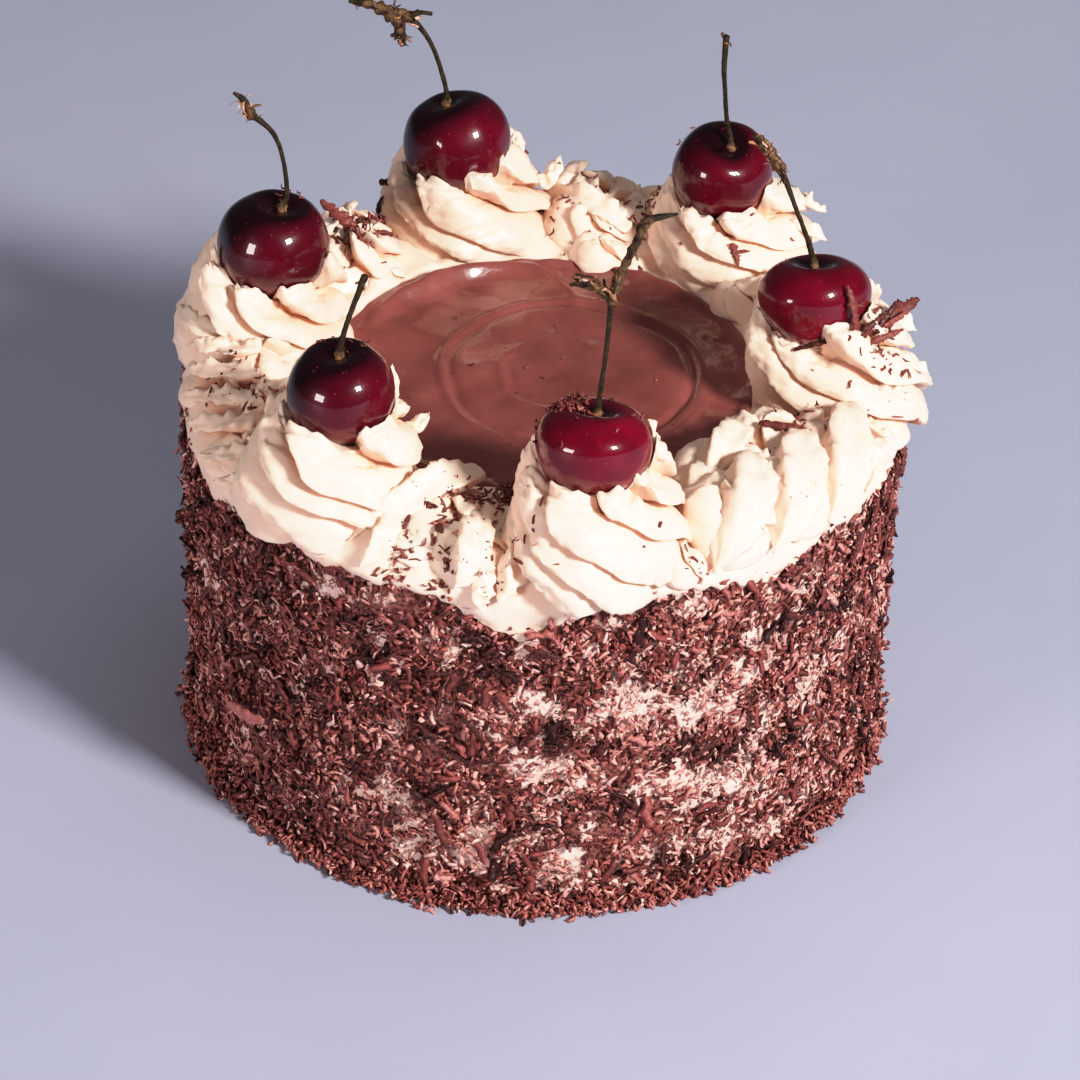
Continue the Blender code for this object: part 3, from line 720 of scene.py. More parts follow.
def swirl(centre, profile, radius, height, pattern, seed, cherry=None, rim=(0, 0)):
    """Points, faces and painted groove shade of a piped swirl of cream. Its petals wind down and round it,
    counter-clockwise seen from above, and it leans to its cherry, which its rim holds."""
    ridges, sweep, turn = pattern
    rows, columns = (54, 22) if cherry else (34, 15)
    share, rise, relief = smooth_line(profile, rows).T[:, :, None]
    base_angle, depth, lot = petals(ridges, columns, seed)
    depth = depth[None, :]
    lot = lot[None, :]
    angle = base_angle[None, :] + np.radians(turn - sweep * smoothstep(-0.15, 1.1, rise))
    angle = angle + np.radians(sweep) * 0.1 * lot * (rise - 0.5)
    angle = angle + 0.09 * np.sin(2 * angle + 5 * rise + turn) + 0.05 * np.sin(5 * angle - 7 * rise)
    wave = (np.sin(2 * angle + turn) + 0.8 * np.sin(3 * angle - turn)) / 1.8
    outward = math.atan2(centre[1], centre[0])
    oval = 1 + OVAL * np.cos(angle - outward)
    reach = radius * (share * (1 + 0.035 * wave + 0.03 * lot) - PETAL_DEPTH * depth * relief) * oval
    crest = 1 - np.clip(depth, 0, 1)
    size = radius / ROSETTE_RADIUS
    flare = np.exp(-(((rise - 0.05) / 0.09) ** 2))
    reach = reach + size * flare * crest * (0.7 + 0.9 * lot)
    level = height * rise - size * flare * (1.3 * crest * (1 + 0.9 * lot))
    tilt = rim[1] * np.cos(angle - math.radians(rim[0]))
    level = level + tilt * np.clip(rise, 0, 1) ** 2
    tip = smoothstep(0.6, 1.0, rise)
    level = level + size * tip * (3.0 * crest**1.8 * (0.9 + 0.7 * lot) - 2.8 * np.clip(depth, 0, 1.2))
    middle = cherry.middle if cherry else centre * (1 - 2.5 * size / np.linalg.norm(centre))
    axis = centre + (np.array([middle[0], middle[1], 0.0]) - centre) * np.clip(rise, 0, 1)[..., None]
    points = axis + np.stack([reach * np.cos(angle), reach * np.sin(angle), level], -1)
    outermost = np.hypot(points[..., 0], points[..., 1])
    past = smoothstep(CAKE_RADIUS - 1, CAKE_RADIUS + 3, outermost)
    points[..., 2] -= CREAM_SAG * past * (1 - smoothstep(0.05, 0.55, rise))
    points[..., 2] += CREAM_FLOOR
    points[..., 2] += size * tip * (0.55 * ripple(points, 2.4, seed + 5) + 0.4 * ripple(points, 1.0, seed + 6))
    depth = np.broadcast_to(depth, (rows, depth.shape[1]))
    if cherry:
        inner = 12
        points = np.concatenate([points, inner_rows(points[-1], cherry, inner)])
        fade = np.linspace(1, 0.3, inner)[:, None]
        depth = np.concatenate([depth, np.maximum(depth[-1:] * fade, 0.45)])
        relief = np.concatenate([relief, np.linspace(0.8, 0, inner)[:, None]])
    lump = size * (0.5 * ripple(points, 7, seed) + 0.2 * ripple(points, 2.6, seed + 1))
    ragged = 0.34 * ripple(points, 1.3, seed + 2) + 0.24 * ripple(points, 0.6, seed + 3)
    frill = size * np.clip(1 - 3.0 * depth, 0, 1) ** 2 * ragged * np.where(relief < 0.9, 1.3, 0.8)
    out = points - (axis[-1, 0] * (1, 1, 0) + (0, 0, CREAM_FLOOR + 0.3 * height))
    out /= np.maximum(np.linalg.norm(out, axis=-1), 1)[..., None]
    points = points + out * (lump + frill)[..., None]
    if cherry:
        points = cherry.outside(points)
    points[..., 2] = np.maximum(points[..., 2], CREAM_FLOOR - CREAM_SAG - 3)
    # Painted shade: the cream is tinted darker and warmer in the grooves between the petals, by their depth.
    hollow = np.clip(depth * np.minimum(relief * 1.2, 1), 0, 1).ravel()
    mesh_points, faces = closed(points)
    return mesh_points, faces, np.concatenate([hollow, [0, 0]])


def strand(line, seed):
    """Points, faces and painted shade (under it and in its groove) of a short strand of cream with a sharp crest
    and torn ends.
    """
    rows, columns = 28, 34
    azimuth, distance, height, width = smooth_line(line, rows).T
    path = polar(azimuth, distance, height)
    ahead = np.gradient(path, axis=0)
    ahead /= np.linalg.norm(ahead, axis=1)[:, None]
    side = np.cross(ahead, (0, 0, 1))
    side /= np.linalg.norm(side, axis=1)[:, None]
    up = np.cross(side, ahead)
    place = np.linspace(0, 1, rows)[:, None]
    turn = np.linspace(0, math.tau, columns, endpoint=False)[None, :]
    crest = 0.95 + 1.3 * place + 0.3 * math.sin(seed)
    apart = np.abs((turn - crest + math.pi) % math.tau - math.pi)
    second = np.abs((turn - crest - 1.5 + math.pi) % math.tau - math.pi)
    shape = 0.82 + 0.42 * np.exp(-apart / 0.24) + 0.24 * np.exp(-second / 0.2)
    shape = shape - 0.12 * np.exp(-(((apart - 0.8) / 0.35) ** 2))
    taper = np.clip(1.02 - np.abs(2 * place - 0.9) ** 2.8, 0.03, 1) ** 0.6
    radius = width[:, None] * taper * shape
    flat = 0.55 + 0.3 * smoothstep(2.6, 4.4, width) - 0.27 * smoothstep(4.8, 6.4, width)
    grid = path[:, None] + side[:, None] * (np.cos(turn) * radius)[..., None]
    grid = grid + up[:, None] * (flat[:, None] * np.sin(turn) * radius)[..., None]
    out = side[:, None] * np.cos(turn)[..., None] + up[:, None] * np.sin(turn)[..., None]
    rough = 0.4 * ripple(grid, 5, seed) + 0.14 * ripple(grid, 2, seed + 1)
    edge = np.maximum(np.exp(-apart / 0.3), 0.7 * np.exp(-second / 0.3))
    thin = 1 + 1.1 * (1 - smoothstep(2.8, 4.2, width))[:, None]
    torn = 0.12 + 0.5 * edge * thin + 0.3 * smoothstep(0.7, 1, place)
    rough = rough + torn * ripple(grid, 1.3, seed + 2)
    grid = grid + out * (rough * taper)[..., None]
    # Painted shade: darker and warmer under the strand and in the groove beside its second crest.
    hollow = smoothstep(0.35, -0.6, np.sin(turn) + 0 * place) + 0.3 * np.exp(-(((apart - 0.7) / 0.3) ** 2))
    points, faces = closed(grid)
    return points, faces, np.concatenate([np.clip(hollow, 0, 1).ravel(), [0.3, 0]])


def inner_rows(rim, cherry, count):
    """Rows of points from a rosette's rim into the hollow that holds its cherry."""
    local = (rim - cherry.middle) @ cherry.lean
    angle = np.arctan2(local[:, 1], local[:, 0])
    facing = np.stack([np.cos(angle), np.sin(angle)], -1)
    across = np.hypot(local[:, 0], local[:, 1])
    rows = []
    for share in np.linspace(0, 1, count + 1)[1:]:
        level = local[:, 2] + (-9.0 - local[:, 2]) * share
        skin = cherry.radius(level) + 0.1
        free = across + (skin - across) * smoothstep(0, 0.35, share)
        rows.append(np.concatenate([facing * free[:, None], level[:, None]], 1))
    return cherry.middle + np.array(rows) @ cherry.lean.T


def collar(look):
    """The cream that lies under and between the swirls and hangs over the cake's edge."""
    columns = 400
    azimuth = np.linspace(0, 360, columns, endpoint=False)
    hang = CREAM_FLOOR - fringe(azimuth) + 0.8
    outline = (
        (44.5, 0.5, 0),
        (46.0, 3.2, 0),
        (50.0, 4.4, 0),
        (60.0, 5.0, 0),
        (70.0, 4.0, 0),
        (75.0, 1.8, 0),
        (77.3, -0.6, 0.1),
        (77.8, -0.8, 0.5),
        (77.4, -0.8, 0.95),
        (76.6, -0.9, 1.05),
        (75.0, -0.8, 0.9),
    )
    rows = 50
    radius, level, drop = smooth_line(outline, rows).T[:, :, None]
    grid = polar(azimuth[None, :], radius, CREAM_FLOOR + level - drop * hang[None, :])
    lump = 0.7 * ripple(grid, 6, 34) + 0.3 * ripple(grid, 2.2, 35)
    grid[..., 2] += lump * (radius < 77.2)
    grid[..., :2] *= (1 + lump * (radius >= 77.2) * 0.5 / 80)[..., None]
    faces = wrapped(rows, columns)[:, ::-1]
    hollow = np.full(rows * columns, 0.25)
    return piece("cream_collar", grid.reshape(-1, 3), [faces], look, "whipped_cream", hollow=hollow)


# ---------------------------------------------------------------- body, ganache and shavings

# Where the cream hangs further over the edge: azimuth, half its width, and how far.
DRIPS = ((-93, 9, 6.5), (-152, 9, 3.6), (-53, 7, 2.2), (-5, 8, 1.5), (60, 12, 3), (120, 9, 2), (-190, 8, 2.5))


def fringe(azimuth):
    """Height of the uneven line where the chocolate on the side meets the cream on top."""
    ring = polar(azimuth, CAKE_RADIUS)
    hang = 1.6 + 0.8 * ripple(ring, 8, 31) + 0.8 * ripple(ring, 2.4, 32) + 0.4 * ripple(ring, 1, 33)
    for centre, wide, drop in DRIPS:
        apart = (azimuth - centre + 180) % 360 - 180
        hang = hang + drop * np.exp(-((apart / wide) ** 2))
    return CREAM_FLOOR - np.maximum(hang, 0.3)


# Where the cream shows through the shavings: azimuth, height, half its width and half its height.
BARE = (
    (-99, 13, 8, 6),
    (-98, 14, 5, 8),
    (-91, 6, 5, 4),
    (-88, 37, 4, 5),
    (-84, 10, 5, 5),
    (-72, 8, 6, 4),
    (-58, 10, 6, 5),
    (-46, 9, 5, 4),
    (-70, 33, 6, 5),
    (-60, 27, 6, 8),
    (-76, 56, 4, 5),
    (-124, 74, 4, 2),
    (-88, 57, 3, 4),
    (-64, 50, 6, 9),
    (-52, 58, 4, 6),
    (-47, 20, 6, 7),
    (-66, 12, 5, 4),
    (-112, 22, 4, 7),
    (-40, 44, 4, 6),
    (40, 30, 10, 8),
    (95, 55, 9, 7),
    (150, 25, 9, 8),
    (-10, 40, 7, 7),
    (200, 55, 7, 8),
)


def bareness(azimuth, height):
    """How far the cream shows through at that place on the side, 0 to 1."""
    total = np.zeros(np.broadcast(azimuth, height).shape)
    for centre, level, wide, tall in BARE:
        apart = (azimuth - centre + 180) % 360 - 180
        arc = np.radians(apart) * CAKE_RADIUS
        width = math.radians(wide) * CAKE_RADIUS
        total = np.maximum(total, np.exp(-((arc / width) ** 2) - ((height - level) / tall) ** 2))
    place = polar(azimuth, CAKE_RADIUS, height)
    patchy = 0.5 * ripple(place, 7, 41) + 0.7 * ripple(place, 3, 42)
    right = smoothstep(-130, -60, (azimuth + 180) % 360 - 180)
    return np.clip(0.8 * total + 0.5 * patchy + 0.06 + 0.14 * right, 0, 1) * smoothstep(2, 7, height)


def flank(height):
    """Radius of the coat under the shavings, a little less at the foot."""
    return CAKE_RADIUS - 1.7 - 0.8 * (1 - height / CAKE_HEIGHT)


def body(look):
    """The coated round under the shavings."""
    rows, columns = 70, 330
    azimuth = np.linspace(0, 360, columns, endpoint=False)[None, :]
    outline = [(0.5, 0), (60, 0), (75.6, 0), (76.2, 1.0)]
    outline += [(flank(height), height) for height in (4, 12, 24, 36, 48, 60, 70, 78)]
    outline += [(75.8, 81.5), (74.4, 83.4), (71, 84), (58, 84), (40, 84)]
    radius, height = smooth_line(outline, rows).T[:, :, None]
    turn = np.radians(azimuth)
    wave = np.sin(5 * turn + 0.08 * height) + 0.7 * np.sin(11 * turn - 0.11 * height)
    radius = radius + 0.4 * wave * smoothstep(60, 76, radius)
    grid = polar(azimuth, radius, height)
    lump = 0.55 * ripple(grid, 5, 43) + 0.3 * ripple(grid, 1.8, 44)
    side = smoothstep(1, 6, height) * (1 - smoothstep(80, 84, height))
    grid[..., :2] *= (1 + lump * side / CAKE_RADIUS)[..., None]
    grid[..., 2] = np.maximum(grid[..., 2], 0)
    points, faces = closed(grid)
    bare = bareness(azimuth, np.broadcast_to(height, grid.shape[:2])).ravel()
    bare = np.where(grid[..., 2].ravel() > 83.5, 1.0, bare)
    bare = np.concatenate([bare, [0, 1]])
    return piece("coat", points, faces, look, "chocolate_shavings", ["cake_body"], bare=bare)


# Rings that the spoon left in the ganache: share of the radius, how far it is off the middle, the
# azimuth where it is strongest, how far round it reaches, and its height.
COILS = (
    (0.61, 0.13, -20, 80, 1.1),
    (0.61, 0.13, 165, 85, 0.6),
    (0.67, 0.11, -30, 40, 0.6),
    (0.30, 0.10, 200, 70, 0.3),
)


def nearness(azimuth, other):
    """How far an azimuth is from another, in degrees."""
    return np.abs((azimuth - other + 180) % 360 - 180)


def ganache(look):
    rows, columns = 112, 230
    azimuth = np.linspace(0, 360, columns, endpoint=False)[None, :]
    outline = ((1.04, -1.6), (1.03, -1.0), (1.01, -0.4), (0.99, -0.08), (0.97, -0.03), (0.93, -0.1))
    outline += tuple((share, -0.12) for share in (0.85, 0.75, 0.65, 0.55, 0.45, 0.35, 0.25, 0.15, 0.07, 0.02))
    share, level = smooth_line(outline, rows).T[:, :, None]
    radius = GANACHE_RADIUS * share
    turn = np.radians(azimuth)
    height = GANACHE_LEVEL - 1.0 + level * 3.0
    height = height + 0.7 * np.exp(-(((share - 0.965) / 0.03) ** 2))
    bead = np.exp(-((nearness(azimuth, 118) / 34) ** 2)) * smoothstep(68, 86, azimuth)
    lip = 0.905 - 0.007 * np.sin(9 * turn) - 0.27 * smoothstep(96, 74, azimuth)
    height = height + 3.3 * bead * np.exp(-(((share - lip) / 0.042) ** 2))
    for middle, drift, azimuth_at, width, lift in COILS:
        ring = middle + drift * np.cos(turn) + 0.008 * np.sin(5 * turn)
        apart = (share - ring) / 0.022
        strength = np.exp(-((nearness(azimuth, azimuth_at) / width) ** 2))
        height = height + lift * strength * (np.exp(-(apart**2)) - 0.8 * np.exp(-((apart + 2.0) ** 2)))
    grid = polar(azimuth, radius, height)
    inside = (share < 1) * 1.0
    grid[..., 2] += (0.4 * ripple(grid, 14, 51) + 0.16 * ripple(grid, 5, 52)) * inside
    grid[..., 2] += 0.22 * ripple(grid, 3.0, 53) * smoothstep(0.80, 0.87, share) * inside
    points, faces = closed(grid)
    return piece("ganache", points, faces, look, "ganache", ["ganache_top"])


def shavings(name, spots, outward, size, look, slot, tone, seed, cuts=3, sides=2, lie=0.35, curl=0.8,
             along=None):
    """Many shavings as one mesh. Each is a curled sliver of that (length, width, thickness), cut
    across in that many places. It lies along the surface at its spot, with its ends lifted. With
    two sides it is a thin curl, and with three a chip with a ridged back."""
    draw = np.random.default_rng(seed)
    count = len(spots)
    length, width, thick = (np.asarray(part)[:, None] for part in size)
    normal = outward + draw.normal(0, lie, (count, 3))
    normal /= np.linalg.norm(normal, axis=1)[:, None]
    along = draw.normal(size=(count, 3)) if along is None else along + draw.normal(0, 0.25, (count, 3))
    along = along - (along * normal).sum(1)[:, None] * normal
    along /= np.linalg.norm(along, axis=1)[:, None]
    across = np.cross(normal, along)
    bend = draw.normal(0, curl, (count, 1))
    twist = draw.normal(0, 0.8, (count, 1))
    rings = []
    for step in range(cuts):
        share = step / (cuts - 1) - 0.5
        centre = along * length * share * np.cos(bend * share) + normal * length * bend * share**2
        wide = width * draw.uniform(0.45, 1.0, (count, 1)) * (1 - 0.5 * share**2)
        skew = draw.uniform(-0.25, 0.25, (count, 1))
        flat = across * np.cos(twist * share) + normal * np.sin(twist * share)
        ring = [centre + flat * wide * (skew + 0.5), centre + flat * wide * (skew - 0.5)]
        if sides == 3:
            ring.append(centre + normal * thick + flat * wide * skew)
        rings.append(np.stack(ring, 1))
    points = np.concatenate(rings, 1)
    corners = points.shape[1]
    edges = [(0, 1)] if sides == 2 else [(0, 1), (1, 2), (2, 0)]
    quads = [
        (step * sides + first, step * sides + then, (step + 1) * sides + then, (step + 1) * sides + first)
        for step in range(cuts - 1)
        for first, then in edges
    ]
    starts = (np.arange(count) * corners)[:, None, None]
    faces = [(np.array(quads)[None] + starts).reshape(-1, 4)]
    if sides == 3:
        ends = np.array([(2, 1, 0), (corners - 3, corners - 2, corners - 1)])
        faces.append((ends[None] + starts).reshape(-1, 3))
    points = (points + spots[:, None]).reshape(-1, 3)
    points[:, 2] = np.maximum(points[:, 2], 0.05)
    tone = np.repeat(tone, corners)
    return piece(name, points, faces, look, slot, smooth=False, tone=tone)


def side_spots(count, seed, shy):
    """Places on the cake's side below the cream, fewer where it is bare by that much."""
    draw = np.random.default_rng(seed)
    azimuth = draw.uniform(0, 360, count * 2)
    height = draw.uniform(0.5, CAKE_HEIGHT, count * 2)
    keep = draw.random(count * 2) > shy * bareness(azimuth, height)
    keep &= height < fringe(azimuth) + draw.normal(0.3, 0.9, count * 2)
    azimuth, height = azimuth[keep][:count], height[keep][:count]
    return azimuth, height, draw


def coat_shavings(looks):
    """The shavings on the side: name, count, seed, how much fewer where bare, then the spans of
    length, width and thickness, cuts, sides, unevenness and distance above the coat."""
    kinds = (
        ("dust", 38500, 61, 0.45, (0.7, 1.8), (0.5, 1.2), (0.15, 0.35), 3, 2, 0.6, (0.0, 1.0)),
        ("shred", 11000, 62, 0.7, (1.2, 3.2), (0.8, 1.9), (0.25, 0.55), 3, 3, 0.5, (0.3, 1.6)),
        ("strip", 750, 63, 0.8, (3.0, 7.5), (1.4, 3.0), (0.3, 0.6), 6, 3, 0.22, (1.0, 1.9)),
    )
    for name, count, seed, shy, long, wide, thick, cuts, sides, lie, lift in kinds:
        azimuth, height, draw = side_spots(count, seed, shy)
        count = len(azimuth)
        outward = polar(azimuth, 1.0)
        spots = polar(azimuth, flank(height) + draw.uniform(*lift, count), height)
        patchy = 0.16 * ripple(spots, 9, 64) + 0.12 * ripple(spots, 3, 65)
        middle = 0.25 if name == "strip" else 0.44
        tone = np.clip(draw.normal(middle, 0.22, count) + patchy, 0, 0.82)
        milky = draw.random(count) < (0.06 + 0.6 * bareness(azimuth, height)) * (name != "strip")
        tone = np.where(milky, draw.uniform(0.8, 1.0, count), tone)
        size = [draw.uniform(*span, count) for span in (long, wide, thick)]
        drift = 2.0 * ripple(spots, 10, 66) + draw.normal(0, 0.9, count)
        level = polar(azimuth + 90, 1.0)
        along = level * np.cos(drift)[:, None] + np.array([0, 0, 1]) * np.sin(drift)[:, None]
        shavings(f"shavings_{name}", spots, outward, size, looks["shaving"], "chocolate_shavings",
                 tone, seed, cuts, sides, lie, 0.6, along)


def skirt_crumbs(looks):
    """Crumbs of chocolate fallen round the cake's foot."""
    draw = np.random.default_rng(71)
    count = 4200
    azimuth = draw.uniform(0, 360, count)
    height = np.abs(draw.normal(0, 1.8, count)) + 0.4
    out = np.abs(draw.normal(0, 1.1, count)) * np.clip(1.3 - height / 6, 0.1, 1.3)
    spots = polar(azimuth, np.minimum(CAKE_RADIUS - 1.2 + out, 80.5), height)
    outward = polar(azimuth, 0.6, 0.8)
    size = [draw.uniform(*span, count) for span in ((1.0, 3.0), (0.6, 1.5), (0.3, 0.8))]
    tone = np.clip(draw.normal(0.5, 0.2, count), 0, 1)
    shavings("crumbs_foot", spots, outward, size, looks["shaving"], "chocolate_shavings", tone, 72,
             3, 3, 0.8)


# ---------------------------------------------------------------- loose chocolate on the cream

# Where flakes lie on top: azimuth, distance, spread in mm, how many, longest in mm.
SPRINKLES = (
    (-107, 58, 7.5, 55, 4.0),
    (-104, 68, 6.5, 34, 4.5),
    (-96, 48, 3.8, 130, 3.2),
    (-88, 52, 2.6, 50, 2.4),
    (-163, 66, 7.5, 50, 4.0),
    (-167, 74, 5.0, 24, 3.6),
    (139, 56, 5.5, 60, 4.5),
    (133, 62, 5.0, 36, 3.6),
    (-85, 56.6, 3.4, 150, 2.4),
    (160, 57, 3.4, 8, 2.6),
    (-136, 58, 5, 8, 2.0),
    (-28, 60, 7.0, 26, 3.5),
    (-12, 72, 6.5, 50, 3.0),
    (83, 58, 9.0, 30, 3.0),
    (66, 60, 4.0, 26, 3.5),
    (-79, 62, 14, 26, 2.0),
    (49, 62, 14, 14, 2.5),
    (20, 60, 10, 30, 3.0),
    (-40, 60, 12, 20, 1.6),
    (-95, 74, 5, 30, 3.0),
    (-112, 77, 4.5, 70, 2.4),
    (-104, 78, 3.5, 45, 2.2),
    (-97, 79, 3.0, 30, 2.4),
    (-66, 79, 3.0, 16, 2.2),
    (-46, 78.5, 5.0, 24, 2.2),
    (0, 0, 30, 24, 1.0),
)


def landing(targets, across, back):
    """The highest point of the targets at that place, and the way it faces, in millimetres."""
    best = None
    for target in targets:
        start = Vector((across, back, 150)) * MM
        hit, where, facing, _ = target.ray_cast(start, Vector((0, 0, -1)))
        if hit and (best is None or where.z > best[0].z):
            best = where.copy(), facing.copy()
    return best


def sprinkles(look, targets):
    draw = np.random.default_rng(91)
    bpy.context.view_layer.update()
    spots, outward, longest = [], [], []
    for azimuth, distance, spread_out, count, longest_here in SPRINKLES:
        centre = polar(azimuth, distance)
        for across, back in centre[:2] + draw.normal(0, spread_out / 1.6, (count, 2)):
            found = landing(targets, across, back)
            if found:
                spots.append(np.array(found[0]) / MM + np.array(found[1]) * 0.25)
                outward.append(np.array(found[1]))
                longest.append(longest_here)
    spots, outward, longest = np.array(spots), np.array(outward), np.array(longest)
    count = len(spots)
    length = longest * draw.uniform(0.25, 1.0, count) ** 1.3
    size = [length, np.minimum(length * 0.6, draw.uniform(0.4, 1.4, count)), draw.uniform(0.2, 0.4, count)]
    tone = np.clip(draw.normal(0.36, 0.14, count), 0.05, 0.7)
    shavings("flakes_loose", spots, outward, size, look, "chocolate_flake", tone, 92, 4, 3, 0.22)


# The shards that the CAD has: name, broad end, pointed end, the way the outer face looks, width, bend
# in degrees and tone.
SHARDS = (
    ("back", (-40.5, 37.4, 96.0), (-50.4, 43.4, 102.2), (0.1, -0.8, 0.6), 4.4, 60, 0.38),
    ("curl", (65.6, -15.2, 109.0), (63.0, -12.4, 119.0), (0.5, -0.8, 0.2), 2.6, 50, 0.27),
    ("rim", (66.8, -13.0, 107.2), (79.0, -3.4, 110.4), (0.4, -0.7, 0.6), 4.4, 40, 0.22),
    ("front", (45.0, -34.2, 98.4), (55.8, -35.8, 98.0), (0, -0.3, 1), 2.2, 110, 0.24),
)
# Other shards that lie on the cream: middle across and back, heading in degrees, length, width and
# tone.
# Splinters round the shards on the right rosette, described as the shards are.
SPLINTERS = (
    ((66.5, -14.0, 107.8), (72.0, -9.5, 111.2), (0.3, -0.7, 0.6), 1.7, 50, 0.14),
    ((68.5, -14.8, 106.4), (75.5, -10.6, 107.4), (0.3, -0.7, 0.6), 1.5, 50, 0.34),
    ((69.5, -12.6, 107.2), (74.0, -6.6, 111.8), (0.3, -0.7, 0.6), 1.4, 40, 0.10),
    ((71.5, -11.2, 108.4), (76.5, -8.4, 110.8), (0.3, -0.7, 0.6), 1.6, 40, 0.42),
    ((64.2, -16.0, 106.2), (68.0, -15.4, 110.2), (0.1, -0.8, 0.5), 1.8, 60, 0.20),
    ((52.5, -15.2, 104.2), (65.0, -14.6, 108.4), (0.1, -0.7, 0.7), 1.2, 50, 0.04),
)
# Shards on the side: azimuth, height, slope, length, width and tone.
SIDE_SHARDS = (
    (-141, 31, 15, 15, 4.4, 0.62),
    (-99, 50, -52, 8.5, 1.5, 0.06),
    (-96.5, 44, -60, 7.5, 1.4, 0.08),
    (-104, 63, 15, 7, 1.4, 0.1),
    (-88, 70, -18, 6.5, 1.6, 0.08),
    (-62, 41, 30, 7, 1.4, 0.1),
    (-47, 66, -35, 6, 1.5, 0.12),
    (-27, 77, 68, 7.5, 2.2, 0.24),
    (-32, 73, 50, 7.5, 2.2, 0.2),
    (-22, 79, 62, 7, 2.0, 0.2),
    (-20, 73, 60, 7.5, 2.4, 0.3),
    (-17, 79.5, 78, 6.5, 2.0, 0.15),
    (-12, 78, 50, 6.5, 2.0, 0.25),
    (-9, 75, 66, 7, 2.2, 0.26),
    (-158, 70, 65, 6, 1.5, 0.1),
    (-168, 78, 70, 5, 1.4, 0.2),
)
LYING = (
    (58.6, -38.4, -86, 5.5, 1.3, 0.2),
    (59.8, -45.6, -17, 5.5, 1.0, 0.35),
    (56.2, -51.0, 3, 1.3, 1.2, 0.2),
    (41.3, 32.9, -67, 5.2, 1.8, 0.35),
    (42.6, 33.6, 20, 4.2, 1.0, 0.3),
    (54.9, 52.0, -36, 4.0, 1.6, 0.25),
    (-36.2, 58.6, -23, 5.0, 1.8, 0.0),
    (-37.6, 56.4, 15, 5.0, 2.0, 0.0),
    (-38.0, 54.0, 40, 3.6, 1.6, 0.05),
    (-40.7, 50.2, 27, 5.4, 1.8, 0.3),
    (-36.0, 39.7, 54, 5.0, 2.0, 0.35),
    (-42.8, 35.0, -45, 5.2, 2.4, 0.45),
    (-38.5, 48.0, -30, 4.6, 1.6, 0.4),
    (-22.2, -59.3, -13, 3.4, 1.6, 0.15),
    (-26.7, -62.9, 59, 3.4, 1.2, 0.2),
    (-18.5, -56.5, -75, 4.2, 1.2, 0.15),
    (-13.9, -56.5, 85, 4.4, 1.5, 0.25),
    (-20.0, -66.0, -60, 5.2, 1.7, 0.15),
    (-68.3, -11.9, -19, 5.0, 1.6, 0.25),
)


def shard(broad_end, point, facing, width, bend, seed):
    """Points, faces and tones of a torn shard of chocolate, rolled along its length."""
    draw = np.random.default_rng(seed)
    rows = 26
    broad_end, point = np.array(broad_end, float), np.array(point, float)
    line = point - broad_end
    length = np.linalg.norm(line)
    line = line / length
    across = np.cross(facing, line)
    across /= np.linalg.norm(across)
    out = np.cross(line, across)
    share = np.linspace(0, 1, rows)
    torn = 1 + 0.16 * draw.normal(size=(rows, 2)).cumsum(0).clip(-1.6, 1.2)
    torn *= draw.uniform(0.5, 1.15, (rows, 2))
    taper = np.clip(0.5 + 5 * share, 0, 1) * np.clip(1.3 - share**2.6, 0.1, 1)
    ring = np.array([(side, face) for side, face in
                     ((-1, 0), (-0.7, 1), (-0.2, 1), (0.3, 1), (0.8, 1), (1, 0),
                      (0.8, -1), (0.3, -1), (-0.2, -1), (-0.7, -1))])
    turn = math.radians(bend)
    grid = []
    for row in range(rows):
        half = width / 2 * taper[row] * np.where(ring[:, 0] < 0, torn[row, 0], torn[row, 1])
        angle = ring[:, 0] * turn / 2 + 0.5 * (share[row] - 0.5)
        roll = half[:, None] * (np.sin(ring[:, 0] * turn / 2) / math.sin(turn / 2))[:, None]
        fall = half * (1 - np.cos(angle)) / max(math.sin(turn / 2), 0.3)
        arch = 0.06 * length * (1 - (2 * share[row] - 1) ** 2)
        lift = arch - fall + ring[:, 1] * 0.22 + 0.12 * draw.normal()
        grid.append(broad_end + line * length * share[row] + across * roll + out * lift[:, None])
    points, faces = closed(np.array(grid))
    return points, faces, np.zeros(len(points))


def shards(look, targets):
    """The torn shards of chocolate that stand and lie on the cream."""
    for number, (name, broad_end, point, facing, width, bend, tone) in enumerate(SHARDS):
        points, faces, blank = shard(broad_end, point, facing, width, bend, 400 + number)
        piece(f"shard_{name}", points, faces, look, "chocolate_flake", [f"flake_{name}"], smooth=False,
              tone=blank + tone)
    parts = []
    for number, (across, back, heading, length, width, tone) in enumerate(LYING):
        where, facing = landing(targets, across, back)
        middle, facing = np.array(where) / MM, np.array(facing)
        ahead = polar(heading, 1.0)
        ahead = ahead - facing * (ahead @ facing)
        ahead *= length / 2 / np.linalg.norm(ahead)
        middle = middle + facing * 0.35
        points, faces, blank = shard(middle - ahead, middle + ahead, facing, width, 50, 420 + number)
        parts.append((points, faces, blank + tone))
    for number, (azimuth, height, slope, length, width, tone) in enumerate(SIDE_SHARDS):
        facing = polar(azimuth, 1.0)
        run = math.radians(slope)
        ahead = (math.cos(run) * polar(azimuth + 90, 1.0) + (0, 0, math.sin(run))) * length / 2
        middle = polar(azimuth, CAKE_RADIUS + 0.3 + 0.08 * length, height)
        points, faces, blank = shard(middle - ahead, middle + ahead, facing, width, 50, 460 + number)
        parts.append((points, faces, blank + tone))
    for number, (broad_end, point, facing, width, bend, tone) in enumerate(SPLINTERS):
        points, faces, blank = shard(broad_end, point, facing, width, bend, 490 + number)
        parts.append((points, faces, blank + tone))
    whole, tones = joined(parts)
    piece("shards_loose", *whole, look, "chocolate_flake", smooth=False, tone=tones)


# ---------------------------------------------------------------- camera, light and floor


